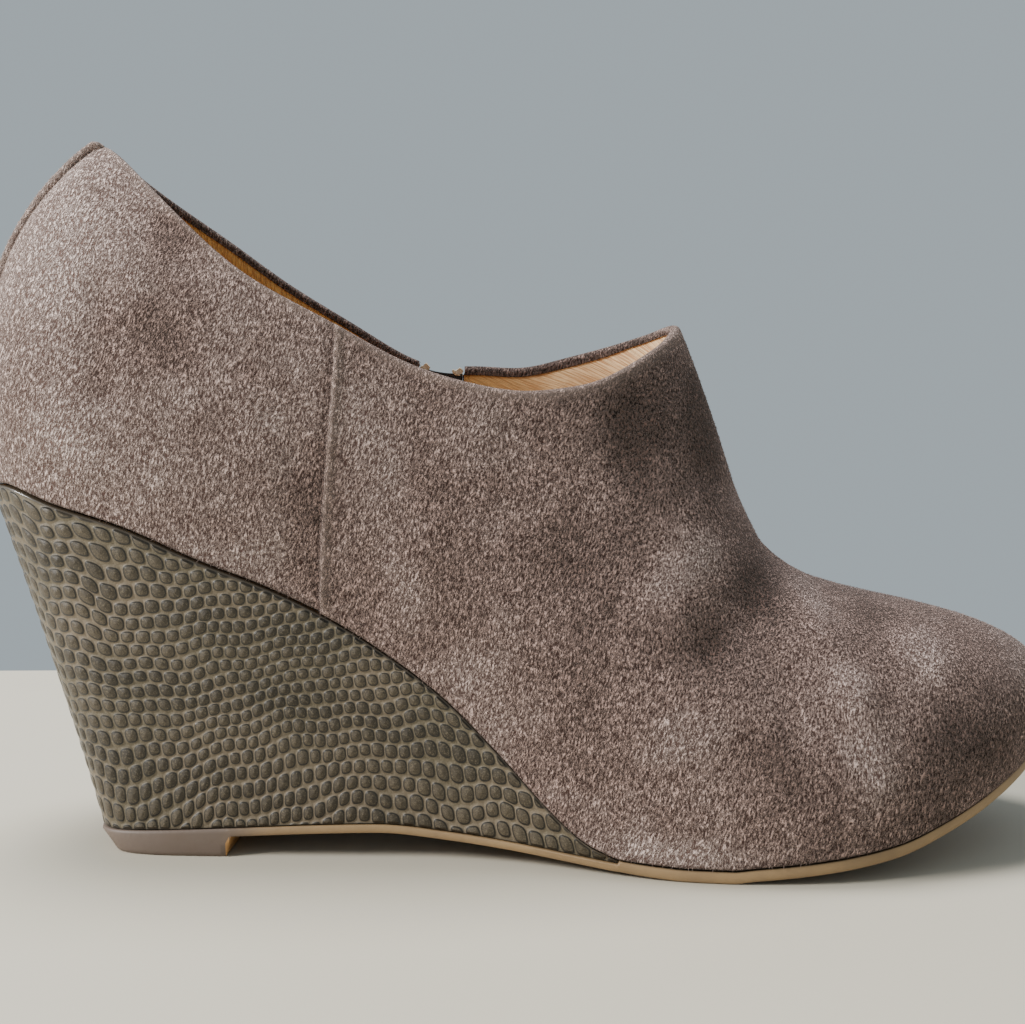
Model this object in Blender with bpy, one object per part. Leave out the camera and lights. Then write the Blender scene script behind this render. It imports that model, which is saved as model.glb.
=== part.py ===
"""Wedge ankle boot for the right foot: suede upper with an inside zip, covered wedge, thin outsole.

Frame: metres, +X toward the toe, -Y the outer side of the foot, +Z up. The origin is the middle of
the heel's flat ground face. Sections are numbered from the heel's back (0) along the outer side to
the toe (16) and back along the inner side (31).
"""
import math

import bpy
import bmesh
import numpy as np
from mathutils import Matrix

# Driving sizes of the last
FOOT_LENGTH = 0.2345
BALL_WIDTH = 0.0825
COLLAR_WIDTH = 0.0550
HEEL_RISE = 0.0791
SHAFT_RISE = 0.0759
HEEL_OVERHANG = 0.0428

# Driving sizes of the sole
SOLE = 0.0025
ARCH_SOLE = 0.0018
ARCH_RISE = 0.0054
TOE_SPRING = 0.0180
HEEL_BREAST = 0.0123
BREAST_SLANT = 0.0012
HEEL_BEVEL = 0.0045
EDGE_ROUND = 0.0006
SOLE_EDGE = 0.0004

# Driving sizes of walls, overlays and clearances
WALL = 0.0018
OVERLAY = 0.0007
OVERLAY_RAMP = 0.0005
GAP = 0.0003
INSOLE = 0.0030
WEDGE_LEDGE = 0.0005
WEDGE_HOLLOW = 0.0003
STAY_HALF_WIDTH = 0.0090

# Driving sizes of the zip
SLOT_WIDTH = 0.0112
SLOT_FLOOR = 0.20
TAPE = 0.0010
CHAIN_WIDTH = 0.0046
CHAIN_PROUD = 0.0006
SLIDER_LENGTH = 0.0090
SLIDER_WIDTH = 0.0072
SLIDER_THICK = 0.0016
SLIDER_DROP = 0.0110
BAIL_WIDTH = 0.0016
BAIL_BAR = 0.0010
PULL_LENGTH = 0.0200
PULL_WIDTH = 0.0052
PULL_THICK = 0.0010

# Lower edge of the upper, from heel to toe: shares of FOOT_LENGTH and BALL_WIDTH
FOOT_PLAN = (
    # along, outer, inner
    (0.000, 0.000, 0.000),
    (0.005, 0.109, 0.109),
    (0.025, 0.230, 0.230),
    (0.068, 0.319, 0.319),
    (0.136, 0.361, 0.358),
    (0.222, 0.376, 0.361),
    (0.316, 0.366, 0.327),
    (0.409, 0.372, 0.315),
    (0.503, 0.416, 0.355),
    (0.597, 0.485, 0.430),
    (0.682, 0.528, 0.473),
    (0.768, 0.525, 0.468),
    (0.844, 0.458, 0.430),
    (0.908, 0.355, 0.364),
    (0.957, 0.228, 0.267),
    (0.987, 0.091, 0.158),
    (1.000, -0.036, 0.036),
)

# Lower outline of the wedge, where it leaves the line above: shares of FOOT_LENGTH and BALL_WIDTH
BASE_PLAN = (
    # along, outer, inner
    (0.1085, 0.000, 0.000),
    (0.1088, 0.100, 0.100),
    (0.1125, 0.202, 0.202),
    (0.1320, 0.274, 0.274),
    (0.1790, 0.305, 0.303),
    (0.2430, 0.315, 0.305),
    (0.3240, 0.327, 0.297),
    (0.4090, 0.339, 0.297),
    (0.5030, 0.395, 0.342),
)

# Collar edge: shares of FOOT_LENGTH, COLLAR_WIDTH and SHAFT_RISE
COLLAR_PLAN = (
    # along, half width, outer rise, inner rise
    (0.098, 0.000, 1.000, 1.000),
    (0.106, 0.109, 0.983, 0.982),
    (0.128, 0.191, 0.942, 0.921),
    (0.162, 0.291, 0.843, 0.839),
    (0.209, 0.391, 0.702, 0.736),
    (0.264, 0.455, 0.561, 0.613),
    (0.333, 0.487, 0.441, 0.481),
    (0.397, 0.496, 0.333, 0.372),
    (0.452, 0.500, 0.274, 0.358),
    (0.499, 0.491, 0.249, 0.353),
    (0.537, 0.464, 0.257, 0.376),
    (0.567, 0.418, 0.279, 0.401),
    (0.593, 0.360, 0.319, 0.423),
    (0.614, 0.291, 0.361, 0.440),
    (0.631, 0.209, 0.398, 0.449),
    (0.644, 0.109, 0.432, 0.452),
    (0.650, 0.000, 0.449, 0.449),
)

# Rise of the wall between the two edges, a row for every second section. Swell and hook are shares
# of BALL_WIDTH, the reach of COLLAR_WIDTH, stand and dip of the height between the edges.
WALL_CURVE = (
    # swell, stand, reach, dip, hook
    (0.063, 0.435, 0.445, 0.29, 0.00),
    (0.055, 0.400, 0.310, 0.29, 0.00),
    (0.039, 0.360, 0.145, 0.33, 0.00),
    (0.030, 0.330, 0.090, 0.36, 0.00),
    (0.030, 0.300, 0.090, 0.42, 0.00),
    (0.040, 0.290, 0.160, 0.53, 0.06),
    (0.100, 0.370, 0.380, 0.74, 0.32),
    (0.240, 0.500, 0.550, 0.89, 0.72),
    (0.315, 0.567, 0.660, 0.947, 0.916),
)

# Height of the upper's lower edge over the wedge: shares of FOOT_LENGTH and HEEL_RISE
WEDGE_TOP = (
    # along, rise
    (0.000, 1.000),
    (0.032, 0.996),
    (0.090, 0.941),
    (0.151, 0.885),
    (0.222, 0.794),
    (0.274, 0.733),
    (0.324, 0.661),
    (0.378, 0.563),
    (0.431, 0.446),
    (0.483, 0.295),
    (0.534, 0.135),
    (0.560, 0.075),
)

# Underside of the sole without its heel: shares of FOOT_LENGTH, ARCH_RISE and TOE_SPRING
TREAD = (
    # along, arch, toe
    (0.095, 0.48, 0.000),
    (0.171, 0.65, 0.000),
    (0.239, 0.78, 0.000),
    (0.328, 0.96, 0.000),
    (0.375, 1.00, 0.000),
    (0.433, 0.80, 0.000),
    (0.490, 0.56, 0.000),
    (0.546, 0.30, 0.000),
    (0.584, 0.15, 0.000),
    (0.618, 0.045, 0.000),
    (0.640, 0.00, 0.000),
    (0.678, 0.00, 0.000),
    (0.695, 0.00, 0.028),
    (0.729, 0.00, 0.072),
    (0.780, 0.00, 0.150),
    (0.823, 0.00, 0.240),
    (0.866, 0.00, 0.410),
    (0.900, 0.00, 0.570),
    (0.925, 0.00, 0.700),
    (0.964, 0.00, 0.890),
    (1.000, 0.00, 1.000),
)

# Where things lie around the boot, in section numbers, and along the length
SECTIONS = 32
TOE_SECTION = 16
SEAM_SECTION = 6.1
ZIP_AT_COLLAR = 24.63
ZIP_AT_FOOT = 25.05
WEDGE_TIP = 0.584
FLAT_START = 0.640
FLAT_END = 0.678

# Mesh counts
ROWS = 16
STAY_COLUMNS = 3
QUARTER_COLUMNS = 14
VAMP_COLUMNS = 24
SLOT_COLUMNS = 2
WEDGE_COLUMNS = 48
WEDGE_ROWS = 6
SLAB_COLUMNS = 9


class Loop:
    """A closed smooth curve through knots that are evenly spaced in section number."""

    def __init__(self, knots):
        self.knots = np.array(knots, dtype=float)
        count = len(self.knots)
        links = 4.0 * np.eye(count) + np.roll(np.eye(count), 1, axis=1) + np.roll(np.eye(count), -1, axis=1)
        spans = np.roll(self.knots, -1, axis=0) - np.roll(self.knots, 1, axis=0)
        self.slopes = np.linalg.solve(links, 3.0 * spans)

    def at(self, section):
        count = len(self.knots)
        place = (section / SECTIONS * count) % count
        low = int(place) % count
        high = (low + 1) % count
        t = place - int(place)
        start = self.knots[low] * (1 + 2 * t) + self.slopes[low] * t
        end = self.knots[high] * (3 - 2 * t) + self.slopes[high] * (t - 1)
        return start * (1 - t) ** 2 + end * t ** 2


def follow(rows, column, x):
    """Read a table's column at x with a smooth curve that never overshoots its rows."""
    xs = [row[0] for row in rows]
    ys = [row[column] for row in rows]
    x = min(max(x, xs[0]), xs[-1])
    rises = [(ys[i + 1] - ys[i]) / (xs[i + 1] - xs[i]) for i in range(len(xs) - 1)]
    slopes = [rises[0]]
    for left, right in zip(rises, rises[1:]):
        slopes.append(0.0 if left * right <= 0 else 2 * left * right / (left + right))
    slopes.append(rises[-1])
    i = min(max(sum(1 for value in xs if value <= x) - 1, 0), len(xs) - 2)
    span = xs[i + 1] - xs[i]
    t = (x - xs[i]) / span
    start = ys[i] * (1 + 2 * t) + slopes[i] * span * t
    end = ys[i + 1] * (3 - 2 * t) + slopes[i + 1] * span * (t - 1)
    return start * (1 - t) ** 2 + end * t ** 2


def both_sides(rows, outer, inner):
    """Rows from heel to toe become a closed list: out along the outer side, back along the inner."""
    there = [outer(row) for row in rows]
    back = [inner(row) for row in rows[-2:0:-1]]
    return there + back


def x_at(along):
    return along * FOOT_LENGTH - HEEL_OVERHANG


def along_at(x):
    return (x + HEEL_OVERHANG) / FOOT_LENGTH


BASE_ROWS = BASE_PLAN + FOOT_PLAN[len(BASE_PLAN):]
FOOT_LOOP = Loop(both_sides(
    FOOT_PLAN,
    lambda row: (x_at(row[0]), -row[1] * BALL_WIDTH),
    lambda row: (x_at(row[0]), row[2] * BALL_WIDTH)))
BASE_LOOP = Loop(both_sides(
    BASE_ROWS,
    lambda row: (x_at(row[0]), -row[1] * BALL_WIDTH),
    lambda row: (x_at(row[0]), row[2] * BALL_WIDTH)))
COLLAR_LOOP = Loop(both_sides(
    COLLAR_PLAN,
    lambda row: (x_at(row[0]), -row[1] * COLLAR_WIDTH, HEEL_RISE + row[2] * SHAFT_RISE),
    lambda row: (x_at(row[0]), row[1] * COLLAR_WIDTH, HEEL_RISE + row[3] * SHAFT_RISE)))
CURVE_LOOP = Loop(both_sides(WALL_CURVE, lambda row: row, lambda row: row))


def tread_z(x):
    """Underside of the sole, without the heel block."""
    along = along_at(x)
    return ARCH_RISE * follow(TREAD, 1, along) + TOE_SPRING * follow(TREAD, 2, along)


def sole_bottom_z(x):
    if x <= HEEL_BREAST:
        return 0.0
    if x < HEEL_BREAST + BREAST_SLANT:
        return tread_z(x) * (x - HEEL_BREAST) / BREAST_SLANT
    return tread_z(x)


def feather_z(x):
    """Height of the upper's lower edge: on the sole in front, on the wedge behind."""
    along = along_at(x)
    on_sole = tread_z(x) + SOLE + GAP
    if along >= WEDGE_TIP:
        return on_sole
    tip = (WEDGE_TIP, (tread_z(x_at(WEDGE_TIP)) + SOLE + GAP) / HEEL_RISE)
    return HEEL_RISE * follow(WEDGE_TOP + (tip,), 1, along)


def sole_top_z(x):
    if along_at(x) < WEDGE_TIP:
        return tread_z(x) + ARCH_SOLE
    return tread_z(x) + SOLE


def plan_normal(loop, section):
    """Direction pointing straight out of a loop, seen from above."""
    step = loop.at(section + 0.01)[:2] - loop.at(section - 0.01)[:2]
    step = step / np.linalg.norm(step)
    return np.array((step[1], -step[0]))


def outset(loop, section, distance):
    return loop.at(section)[:2] + plan_normal(loop, section) * distance


def wall_point(section, v):
    """Outer face of the upper: v is 0 at the lower edge and 1 at the collar."""
    foot_xy = FOOT_LOOP.at(section)
    foot = np.array((foot_xy[0], foot_xy[1], feather_z(foot_xy[0])))
    collar = COLLAR_LOOP.at(section)
    swell, stand, reach, dip, hook = CURVE_LOOP.at(section)
    climb = collar[2] - foot[2]
    low = foot + np.array((*(plan_normal(FOOT_LOOP, section) * swell * BALL_WIDTH), stand * climb))
    high = collar + np.array((*(plan_normal(COLLAR_LOOP, section) * reach * COLLAR_WIDTH), -dip * climb))
    inward = (collar - foot) * (1, 1, 0)
    middle = (low + high) / 2 + inward / np.linalg.norm(inward) * hook * BALL_WIDTH
    low = (foot + 3 * low) / 4
    high = (collar + 3 * high) / 4
    u = 1 - v
    return (foot * u ** 4 + low * 4 * v * u ** 3 + middle * 6 * v * v * u * u
            + high * 4 * v ** 3 * u + collar * v ** 4)


def wall_pace(section, v):
    """Metres of girth for each section number."""
    return np.linalg.norm(wall_point(section + 0.05, v) - wall_point(section - 0.05, v)) / 0.1


def wall_normal(section, v):
    around = wall_point(section + 0.02, v) - wall_point(section - 0.02, v)
    low = max(v - 0.01, 0.0)
    high = min(v + 0.01, 1.0)
    up = wall_point(section, high) - wall_point(section, low)
    normal = np.cross(around, up)
    return normal / np.linalg.norm(normal)


def offset_wall(section, v, distance):
    """A point of the wall moved out of it; at the lower edge it stays on the sole's surface."""
    point = wall_point(section, v)
    normal = wall_normal(section, v)
    if v > 0:
        return point + normal * distance
    flat = plan_normal(FOOT_LOOP, section) * distance
    x = point[0] + flat[0]
    return np.array((x, point[1] + flat[1], feather_z(x)))


def zip_section(v, side):
    """Section number at a distance from the zip's middle; side is metres toward the heel."""
    middle = ZIP_AT_FOOT + (ZIP_AT_COLLAR - ZIP_AT_FOOT) * v
    return middle + side / wall_pace(middle, v)


def stay_section(v, distance):
    return distance / wall_pace(0.0, v)


def between(start, end, count):
    """Evenly spaced values from start up to, and without, end."""
    return [start + (end - start) * i / count for i in range(count)]


def wall_columns(v):
    """Section numbers of one row's columns, each with its height over the wall's plain face."""
    stay_in = stay_section(v, STAY_HALF_WIDTH - OVERLAY_RAMP)
    stay_out = stay_section(v, STAY_HALF_WIDTH)
    seam_step = OVERLAY_RAMP / wall_pace(SEAM_SECTION, v)
    front_high = zip_section(v, -SLOT_WIDTH / 2 - OVERLAY_RAMP)
    front = zip_section(v, -SLOT_WIDTH / 2)
    rear = zip_section(v, SLOT_WIDTH / 2)
    runs = (
        (0.0, stay_in, STAY_COLUMNS, OVERLAY),
        (stay_in, stay_out, 1, OVERLAY),
        (stay_out, SEAM_SECTION, QUARTER_COLUMNS, 0.0),
        (SEAM_SECTION, SEAM_SECTION + seam_step, 1, 0.0),
        (SEAM_SECTION + seam_step, TOE_SECTION, VAMP_COLUMNS, OVERLAY),
        (TOE_SECTION, front_high, VAMP_COLUMNS, OVERLAY),
        (front_high, front, 1, OVERLAY),
        (front, rear, SLOT_COLUMNS, 0.0),
        (rear, SECTIONS - stay_out, QUARTER_COLUMNS, 0.0),
        (SECTIONS - stay_out, SECTIONS - stay_in, 1, 0.0),
        (SECTIONS - stay_in, SECTIONS, STAY_COLUMNS, OVERLAY),
    )
    columns = []
    for start, end, count, height in runs:
        columns += [(section, height) for section in between(start, end, count)]
    return columns


SLOT_FIRST_COLUMN = STAY_COLUMNS + 1 + QUARTER_COLUMNS + 1 + 2 * VAMP_COLUMNS + 1


def principled(name, colour, roughness, metallic=0.0):
    material = bpy.data.materials.new(name)
    material.use_nodes = True
    shader = material.node_tree.nodes["Principled BSDF"]
    shader.inputs["Base Color"].default_value = (*colour, 1.0)
    shader.inputs["Roughness"].default_value = roughness
    shader.inputs["Metallic"].default_value = metallic
    material.diffuse_color = (*colour, 1.0)
    return material


def add_object(name, points, faces, material, smooth_angle=35.0):
    """Make one object from shared points and faces, with its normals pointing out."""
    mesh = bpy.data.meshes.new(name)
    mesh.from_pydata([tuple(point) for point in points], [], faces)
    bm = bmesh.new()
    bm.from_mesh(mesh)
    bmesh.ops.remove_doubles(bm, verts=bm.verts, dist=1e-6)
    bmesh.ops.dissolve_degenerate(bm, edges=bm.edges, dist=1e-7)
    loose = [vert for vert in bm.verts if not vert.link_faces]
    bmesh.ops.delete(bm, geom=loose, context="VERTS")
    bmesh.ops.triangulate(bm, faces=bm.faces)
    bmesh.ops.recalc_face_normals(bm, faces=bm.faces)
    bm.to_mesh(mesh)
    bm.free()
    mesh.shade_smooth()
    mesh.set_sharp_from_angle(angle=math.radians(smooth_angle))
    mesh.materials.append(material)
    obj = bpy.data.objects.new(name, mesh)
    bpy.context.scene.collection.objects.link(obj)
    return obj


def shell(name, outer, inner, kept, material, closed=True):
    """Close a wall between two grids of points, rows by columns, over the cells that are kept."""
    rows = len(outer)
    columns = len(outer[0])
    points = [p for row in outer for p in row] + [p for row in inner for p in row]
    half = rows * columns
    faces = []
    edges = {}
    spans = columns if closed else columns - 1
    for r in range(rows - 1):
        for c in range(spans):
            if not kept(r, c):
                continue
            d = (c + 1) % columns
            corners = (r * columns + c, r * columns + d, (r + 1) * columns + d, (r + 1) * columns + c)
            faces.append(corners)
            faces.append(tuple(half + corner for corner in reversed(corners)))
            for a, b in zip(corners, corners[1:] + corners[:1]):
                edges[(a, b)] = edges.get((a, b), 0) + 1
    for a, b in edges:
        if (b, a) not in edges:
            faces.append((b, a, half + a, half + b))
    return add_object(name, points, faces, material)


def build_upper(material):
    rows = [r / ROWS for r in range(ROWS + 1)]
    slot_row = round(SLOT_FLOOR * ROWS)
    outer = []
    inner = []
    for v in rows:
        columns = wall_columns(v)
        outer.append([offset_wall(section, v, height) for section, height in columns])
        inner.append([offset_wall(section, v, -WALL) for section, height in columns])

    def kept(row, column):
        in_slot = SLOT_FIRST_COLUMN <= column < SLOT_FIRST_COLUMN + SLOT_COLUMNS
        return not (in_slot and row >= slot_row)

    return shell("upper", outer, inner, kept, material)


def build_zip_tape(material):
    """The two tapes and the closed chain between them, as one strip set into the slot."""
    first = round(SLOT_FLOOR * ROWS) / ROWS
    rows = [first + (1 - first) * r / ROWS for r in range(ROWS + 1)]
    pace_up = np.linalg.norm(wall_point(ZIP_AT_FOOT, first + 0.05) - wall_point(ZIP_AT_FOOT, first)) / 0.05
    rows[0] += GAP / pace_up
    edge = SLOT_WIDTH / 2 - GAP
    chain = CHAIN_WIDTH / 2
    face = (
        # distance toward the heel, height over the wall's plain face
        (-edge, -GAP), (-chain - CHAIN_PROUD, -GAP), (-chain, CHAIN_PROUD - GAP), (0.0, CHAIN_PROUD),
        (chain, CHAIN_PROUD - GAP), (chain + CHAIN_PROUD, -GAP), (edge, -GAP),
    )
    outer = [[offset_wall(zip_section(v, side), v, height) for side, height in face] for v in rows]
    inner = [[offset_wall(zip_section(v, side), v, -GAP - TAPE) for side, height in face] for v in rows]
    return shell("zip_tape", outer, inner, lambda row, column: True, material, closed=False)


def slab(name, sections, top_ring, bottom_ring, material, rings=(), angle=35.0):
    """A solid between two outlines. A ring gives a point for a section of either side; the flat
    faces are strips across the foot, so they bend only along its length."""
    ring_points = (top_ring, *rings, bottom_ring)
    there = list(sections)
    back = [SECTIONS - section for section in there[::-1]]
    order = there + back
    points = [ring(section) for ring in ring_points for section in order]
    count = len(order)
    faces = []
    for r in range(len(ring_points) - 1):
        for c in range(count):
            d = (c + 1) % count
            faces.append((r * count + c, r * count + d, (r + 1) * count + d, (r + 1) * count + c))
    last = (len(ring_points) - 1) * count
    for i in range(len(there) - 1):
        mirror = count - 1 - i
        faces.append((i, i + 1, mirror - 1, mirror))
        faces.append((last + i, last + i + 1, last + mirror - 1, last + mirror))
    return add_object(name, points, faces, material, angle)


def section_at(loop, x):
    """Section number on the outer side where a loop reaches x."""
    low, high = 0.0, float(TOE_SECTION)
    for _ in range(40):
        middle = (low + high) / 2
        if loop.at(middle)[0] < x:
            low = middle
        else:
            high = middle
    return (low + high) / 2


def build_wedge(material):
    tip = section_at(FOOT_LOOP, x_at(WEDGE_TIP) - GAP)
    sections = [tip * i / WEDGE_COLUMNS for i in range(WEDGE_COLUMNS + 1)]

    def ring(v):
        def point(section):
            sunk = WEDGE_HOLLOW * 4 * v * (1 - v)
            top = outset(FOOT_LOOP, section, WEDGE_LEDGE - sunk)
            base = outset(BASE_LOOP, section, -sunk)
            start = np.array((*top, feather_z(top[0]) - GAP))
            end = np.array((*base, sole_top_z(base[0]) + GAP))
            return start + (end - start) * v
        return point

    rings = [ring(v / WEDGE_ROWS) for v in range(1, WEDGE_ROWS)]
    return slab("wedge", sections, ring(0.0), ring(1.0), material, rings)


def build_outsole(material):
    breast = section_at(BASE_LOOP, HEEL_BREAST)
    breast_top = section_at(BASE_LOOP, HEEL_BREAST + BREAST_SLANT)
    tip = section_at(BASE_LOOP, x_at(WEDGE_TIP))
    tip_front = section_at(BASE_LOOP, x_at(WEDGE_TIP) + GAP)
    flat_start = section_at(BASE_LOOP, x_at(FLAT_START))
    flat_end = section_at(BASE_LOOP, x_at(FLAT_END))
    stops = (0.0, breast / 2, breast, breast_top, (breast_top + tip) / 2, tip - 1e-4, tip_front,
             flat_start, flat_end, (flat_end + TOE_SECTION) / 2, float(TOE_SECTION))
    sections = []
    for start, end in zip(stops, stops[1:]):
        short = end - start < 0.2
        sections += between(start, end, 1 if short else SLAB_COLUMNS)
    sections.append(stops[-1])

    def top(section):
        x, y = outset(BASE_LOOP, section, SOLE_EDGE)
        return np.array((x, y, sole_top_z(x)))

    def waist(section):
        x, y = outset(BASE_LOOP, section, SOLE_EDGE)
        return np.array((x, y, (2 * sole_top_z(x) + sole_bottom_z(x)) / 3))

    def bottom(section):
        backward = max(0.0, -plan_normal(BASE_LOOP, section)[0])
        x, y = outset(BASE_LOOP, section, SOLE_EDGE - EDGE_ROUND - HEEL_BEVEL * backward ** 2)
        return np.array((x, y, sole_bottom_z(x)))

    return slab("outsole", sections, top, bottom, material, (waist,), 30.0)


def build_insole(material):
    sections = [TOE_SECTION * i / (8 * SLAB_COLUMNS) for i in range(8 * SLAB_COLUMNS + 1)]

    def ring(height):
        def point(section):
            x, y = outset(FOOT_LOOP, section, -WALL - GAP)
            return np.array((x, y, feather_z(x) + height))
        return point

    return slab("insole", sections, ring(INSOLE), ring(0.0), material)


def hardware_frame():
    """Frame on the chain's face where the slider sits: X toward the toe, Y out, Z up the zip."""
    v = 1.0
    travelled = 0.0
    step = 0.005
    while travelled < SLIDER_DROP:
        here = wall_point(zip_section(v, 0.0), v)
        travelled += np.linalg.norm(wall_point(zip_section(v - step, 0.0), v - step) - here)
        v -= step
    section = zip_section(v, 0.0)
    out = wall_normal(section, v)
    up = wall_point(zip_section(v + 0.05, 0.0), v + 0.05) - wall_point(zip_section(v - 0.05, 0.0), v - 0.05)
    up = up - out * np.dot(up, out)
    up = up / np.linalg.norm(up)
    side = np.cross(out, up)
    place = wall_point(section, v) + out * CHAIN_PROUD
    frame = Matrix.Identity(4)
    for row in range(3):
        frame[row][0] = side[row]
        frame[row][1] = out[row]
        frame[row][2] = up[row]
        frame[row][3] = place[row]
    return frame


def prism(name, outline, low, high, material):
    """A plate: an outline across X and Z, with its thickness along Y."""
    count = len(outline)
    points = [(x, low, z) for x, z in outline] + [(x, high, z) for x, z in outline]
    faces = [tuple(range(count)), tuple(range(2 * count - 1, count - 1, -1))]
    faces += [(i, (i + 1) % count, count + (i + 1) % count, count + i) for i in range(count)]
    return add_object(name, points, faces, material)


def rounded_rectangle(half_width, bottom, top, radius, steps=4):
    corners = ((half_width - radius, top - radius, 0), (-half_width + radius, top - radius, 1),
               (-half_width + radius, bottom + radius, 2), (half_width - radius, bottom + radius, 3))
    outline = []
    for x, z, quarter in corners:
        for i in range(steps + 1):
            turn = math.radians(90 * (quarter + i / steps))
            outline.append((x + radius * math.cos(turn), z + radius * math.sin(turn)))
    return outline


def combine(obj, tool, operation):
    """Join a tool to an object, or cut it out of it, and apply the result."""
    tool.hide_render = True
    tool.display_type = "WIRE"
    modifier = obj.modifiers.new(operation, "BOOLEAN")
    modifier.operation = operation
    modifier.object = tool
    graph = bpy.context.evaluated_depsgraph_get()
    result = bpy.data.meshes.new_from_object(obj.evaluated_get(graph))
    obj.modifiers.clear()
    obj.data = result
    bpy.data.objects.remove(tool)


PULL_AXIS_HEIGHT = GAP + SLIDER_THICK + GAP + PULL_THICK / 2
BAIL_CLEAR = PULL_AXIS_HEIGHT + PULL_THICK / 2 + GAP


def build_slider(frame, material):
    """Slider on the chain, with a bail arched along the zip."""
    half = SLIDER_LENGTH / 2
    narrow = 0.38 * SLIDER_WIDTH
    wide = SLIDER_WIDTH / 2
    outline = [(wide, 0.1 * half), (wide, 0.75 * half), (0.6 * wide, half), (-0.6 * wide, half),
               (-wide, 0.75 * half), (-wide, 0.1 * half), (-narrow, -0.8 * half), (-0.5 * narrow, -half),
               (0.5 * narrow, -half), (narrow, -0.8 * half)]
    body = prism("zip_slider", outline, GAP, GAP + SLIDER_THICK, material)
    reach = 0.42 * SLIDER_LENGTH
    bail = [(-reach, GAP + SLIDER_THICK / 2), (-reach, BAIL_CLEAR), (-0.7 * reach, BAIL_CLEAR + BAIL_BAR),
            (0.7 * reach, BAIL_CLEAR + BAIL_BAR), (reach, BAIL_CLEAR), (reach, GAP + SLIDER_THICK / 2),
            (reach - BAIL_BAR, GAP + SLIDER_THICK / 2), (reach - BAIL_BAR, BAIL_CLEAR),
            (-reach + BAIL_BAR, BAIL_CLEAR), (-reach + BAIL_BAR, GAP + SLIDER_THICK / 2)]
    count = len(bail)
    points = [(side, y, z) for side in (-BAIL_WIDTH / 2, BAIL_WIDTH / 2) for z, y in bail]
    faces = [tuple(range(count)), tuple(range(2 * count - 1, count - 1, -1))]
    faces += [(i, (i + 1) % count, count + (i + 1) % count, count + i) for i in range(count)]
    arch = add_object("bail", points, faces, material)
    combine(body, arch, "UNION")
    body.matrix_world = frame


def build_pull(frame, material):
    """Pull tab whose upper bar turns under the bail; its origin is on the hinge axis."""
    half = PULL_THICK / 2
    bar = 0.5 * BAIL_BAR
    tab = prism("zip_pull", rounded_rectangle(PULL_WIDTH / 2, -PULL_LENGTH, bar, 0.4 * bar),
                -half, half, material)
    window = rounded_rectangle(BAIL_WIDTH / 2 + 2 * GAP, -0.62 * SLIDER_LENGTH, -bar, GAP)
    combine(tab, prism("window", window, -PULL_WIDTH, PULL_WIDTH, material), "DIFFERENCE")
    grip = rounded_rectangle(0.28 * PULL_WIDTH, -0.9 * PULL_LENGTH, -0.45 * PULL_LENGTH, 2 * GAP)
    combine(tab, prism("grip", grip, 0.6 * half, PULL_WIDTH, material), "DIFFERENCE")
    tab.matrix_world = frame @ Matrix.Translation((0.0, PULL_AXIS_HEIGHT, 0.0))


def build_boot():
    suede = principled("taupe suede", (0.176, 0.117, 0.098), 0.95)
    lizard = principled("embossed wedge cover", (0.090, 0.075, 0.051), 0.42)
    rubber = principled("taupe rubber", (0.210, 0.150, 0.120), 0.70)
    board = principled("insole cover", (0.470, 0.290, 0.130), 0.60)
    tape = principled("black zip tape", (0.012, 0.012, 0.013), 0.60)
    nickel = principled("dark nickel", (0.200, 0.190, 0.180), 0.35, 1.0)
    build_upper(suede)
    build_wedge(lizard)
    build_outsole(rubber)
    build_insole(board)
    build_zip_tape(tape)
    frame = hardware_frame()
    build_slider(frame, nickel)
    build_pull(frame, nickel)


for old in list(bpy.data.objects):
    bpy.data.objects.remove(old, do_unlink=True)
build_boot()
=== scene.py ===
"""Looks of the wedge ankle boot: suede upper, embossed wedge, moulded sole, lining and inside zip.

Frame: metres, +X toward the toe, -Y the outer side of the foot, +Z up, origin in the middle of the
heel's ground face. Sections are numbered from the heel's back (0) along the outer side to the toe
(16) and back along the inner side (32 is the heel's back again). A rise of 0 is the upper's lower
edge and 1 its collar.
"""
import math

import bmesh
import bpy
import numpy as np
from mathutils import Matrix, Vector


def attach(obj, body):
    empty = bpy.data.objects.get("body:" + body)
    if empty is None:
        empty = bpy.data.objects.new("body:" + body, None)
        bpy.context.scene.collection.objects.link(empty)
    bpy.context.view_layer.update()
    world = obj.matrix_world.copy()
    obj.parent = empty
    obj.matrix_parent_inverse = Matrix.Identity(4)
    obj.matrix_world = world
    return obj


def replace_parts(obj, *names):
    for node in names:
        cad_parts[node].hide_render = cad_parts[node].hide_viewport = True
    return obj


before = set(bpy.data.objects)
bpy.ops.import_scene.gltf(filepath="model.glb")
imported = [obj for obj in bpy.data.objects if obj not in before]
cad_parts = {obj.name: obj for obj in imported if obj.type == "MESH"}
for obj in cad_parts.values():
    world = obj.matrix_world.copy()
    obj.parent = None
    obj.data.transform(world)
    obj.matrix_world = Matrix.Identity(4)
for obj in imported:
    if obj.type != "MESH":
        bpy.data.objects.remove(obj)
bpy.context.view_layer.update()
BOOT = "boot"
PULL_TAB = "pull_tab"

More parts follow.
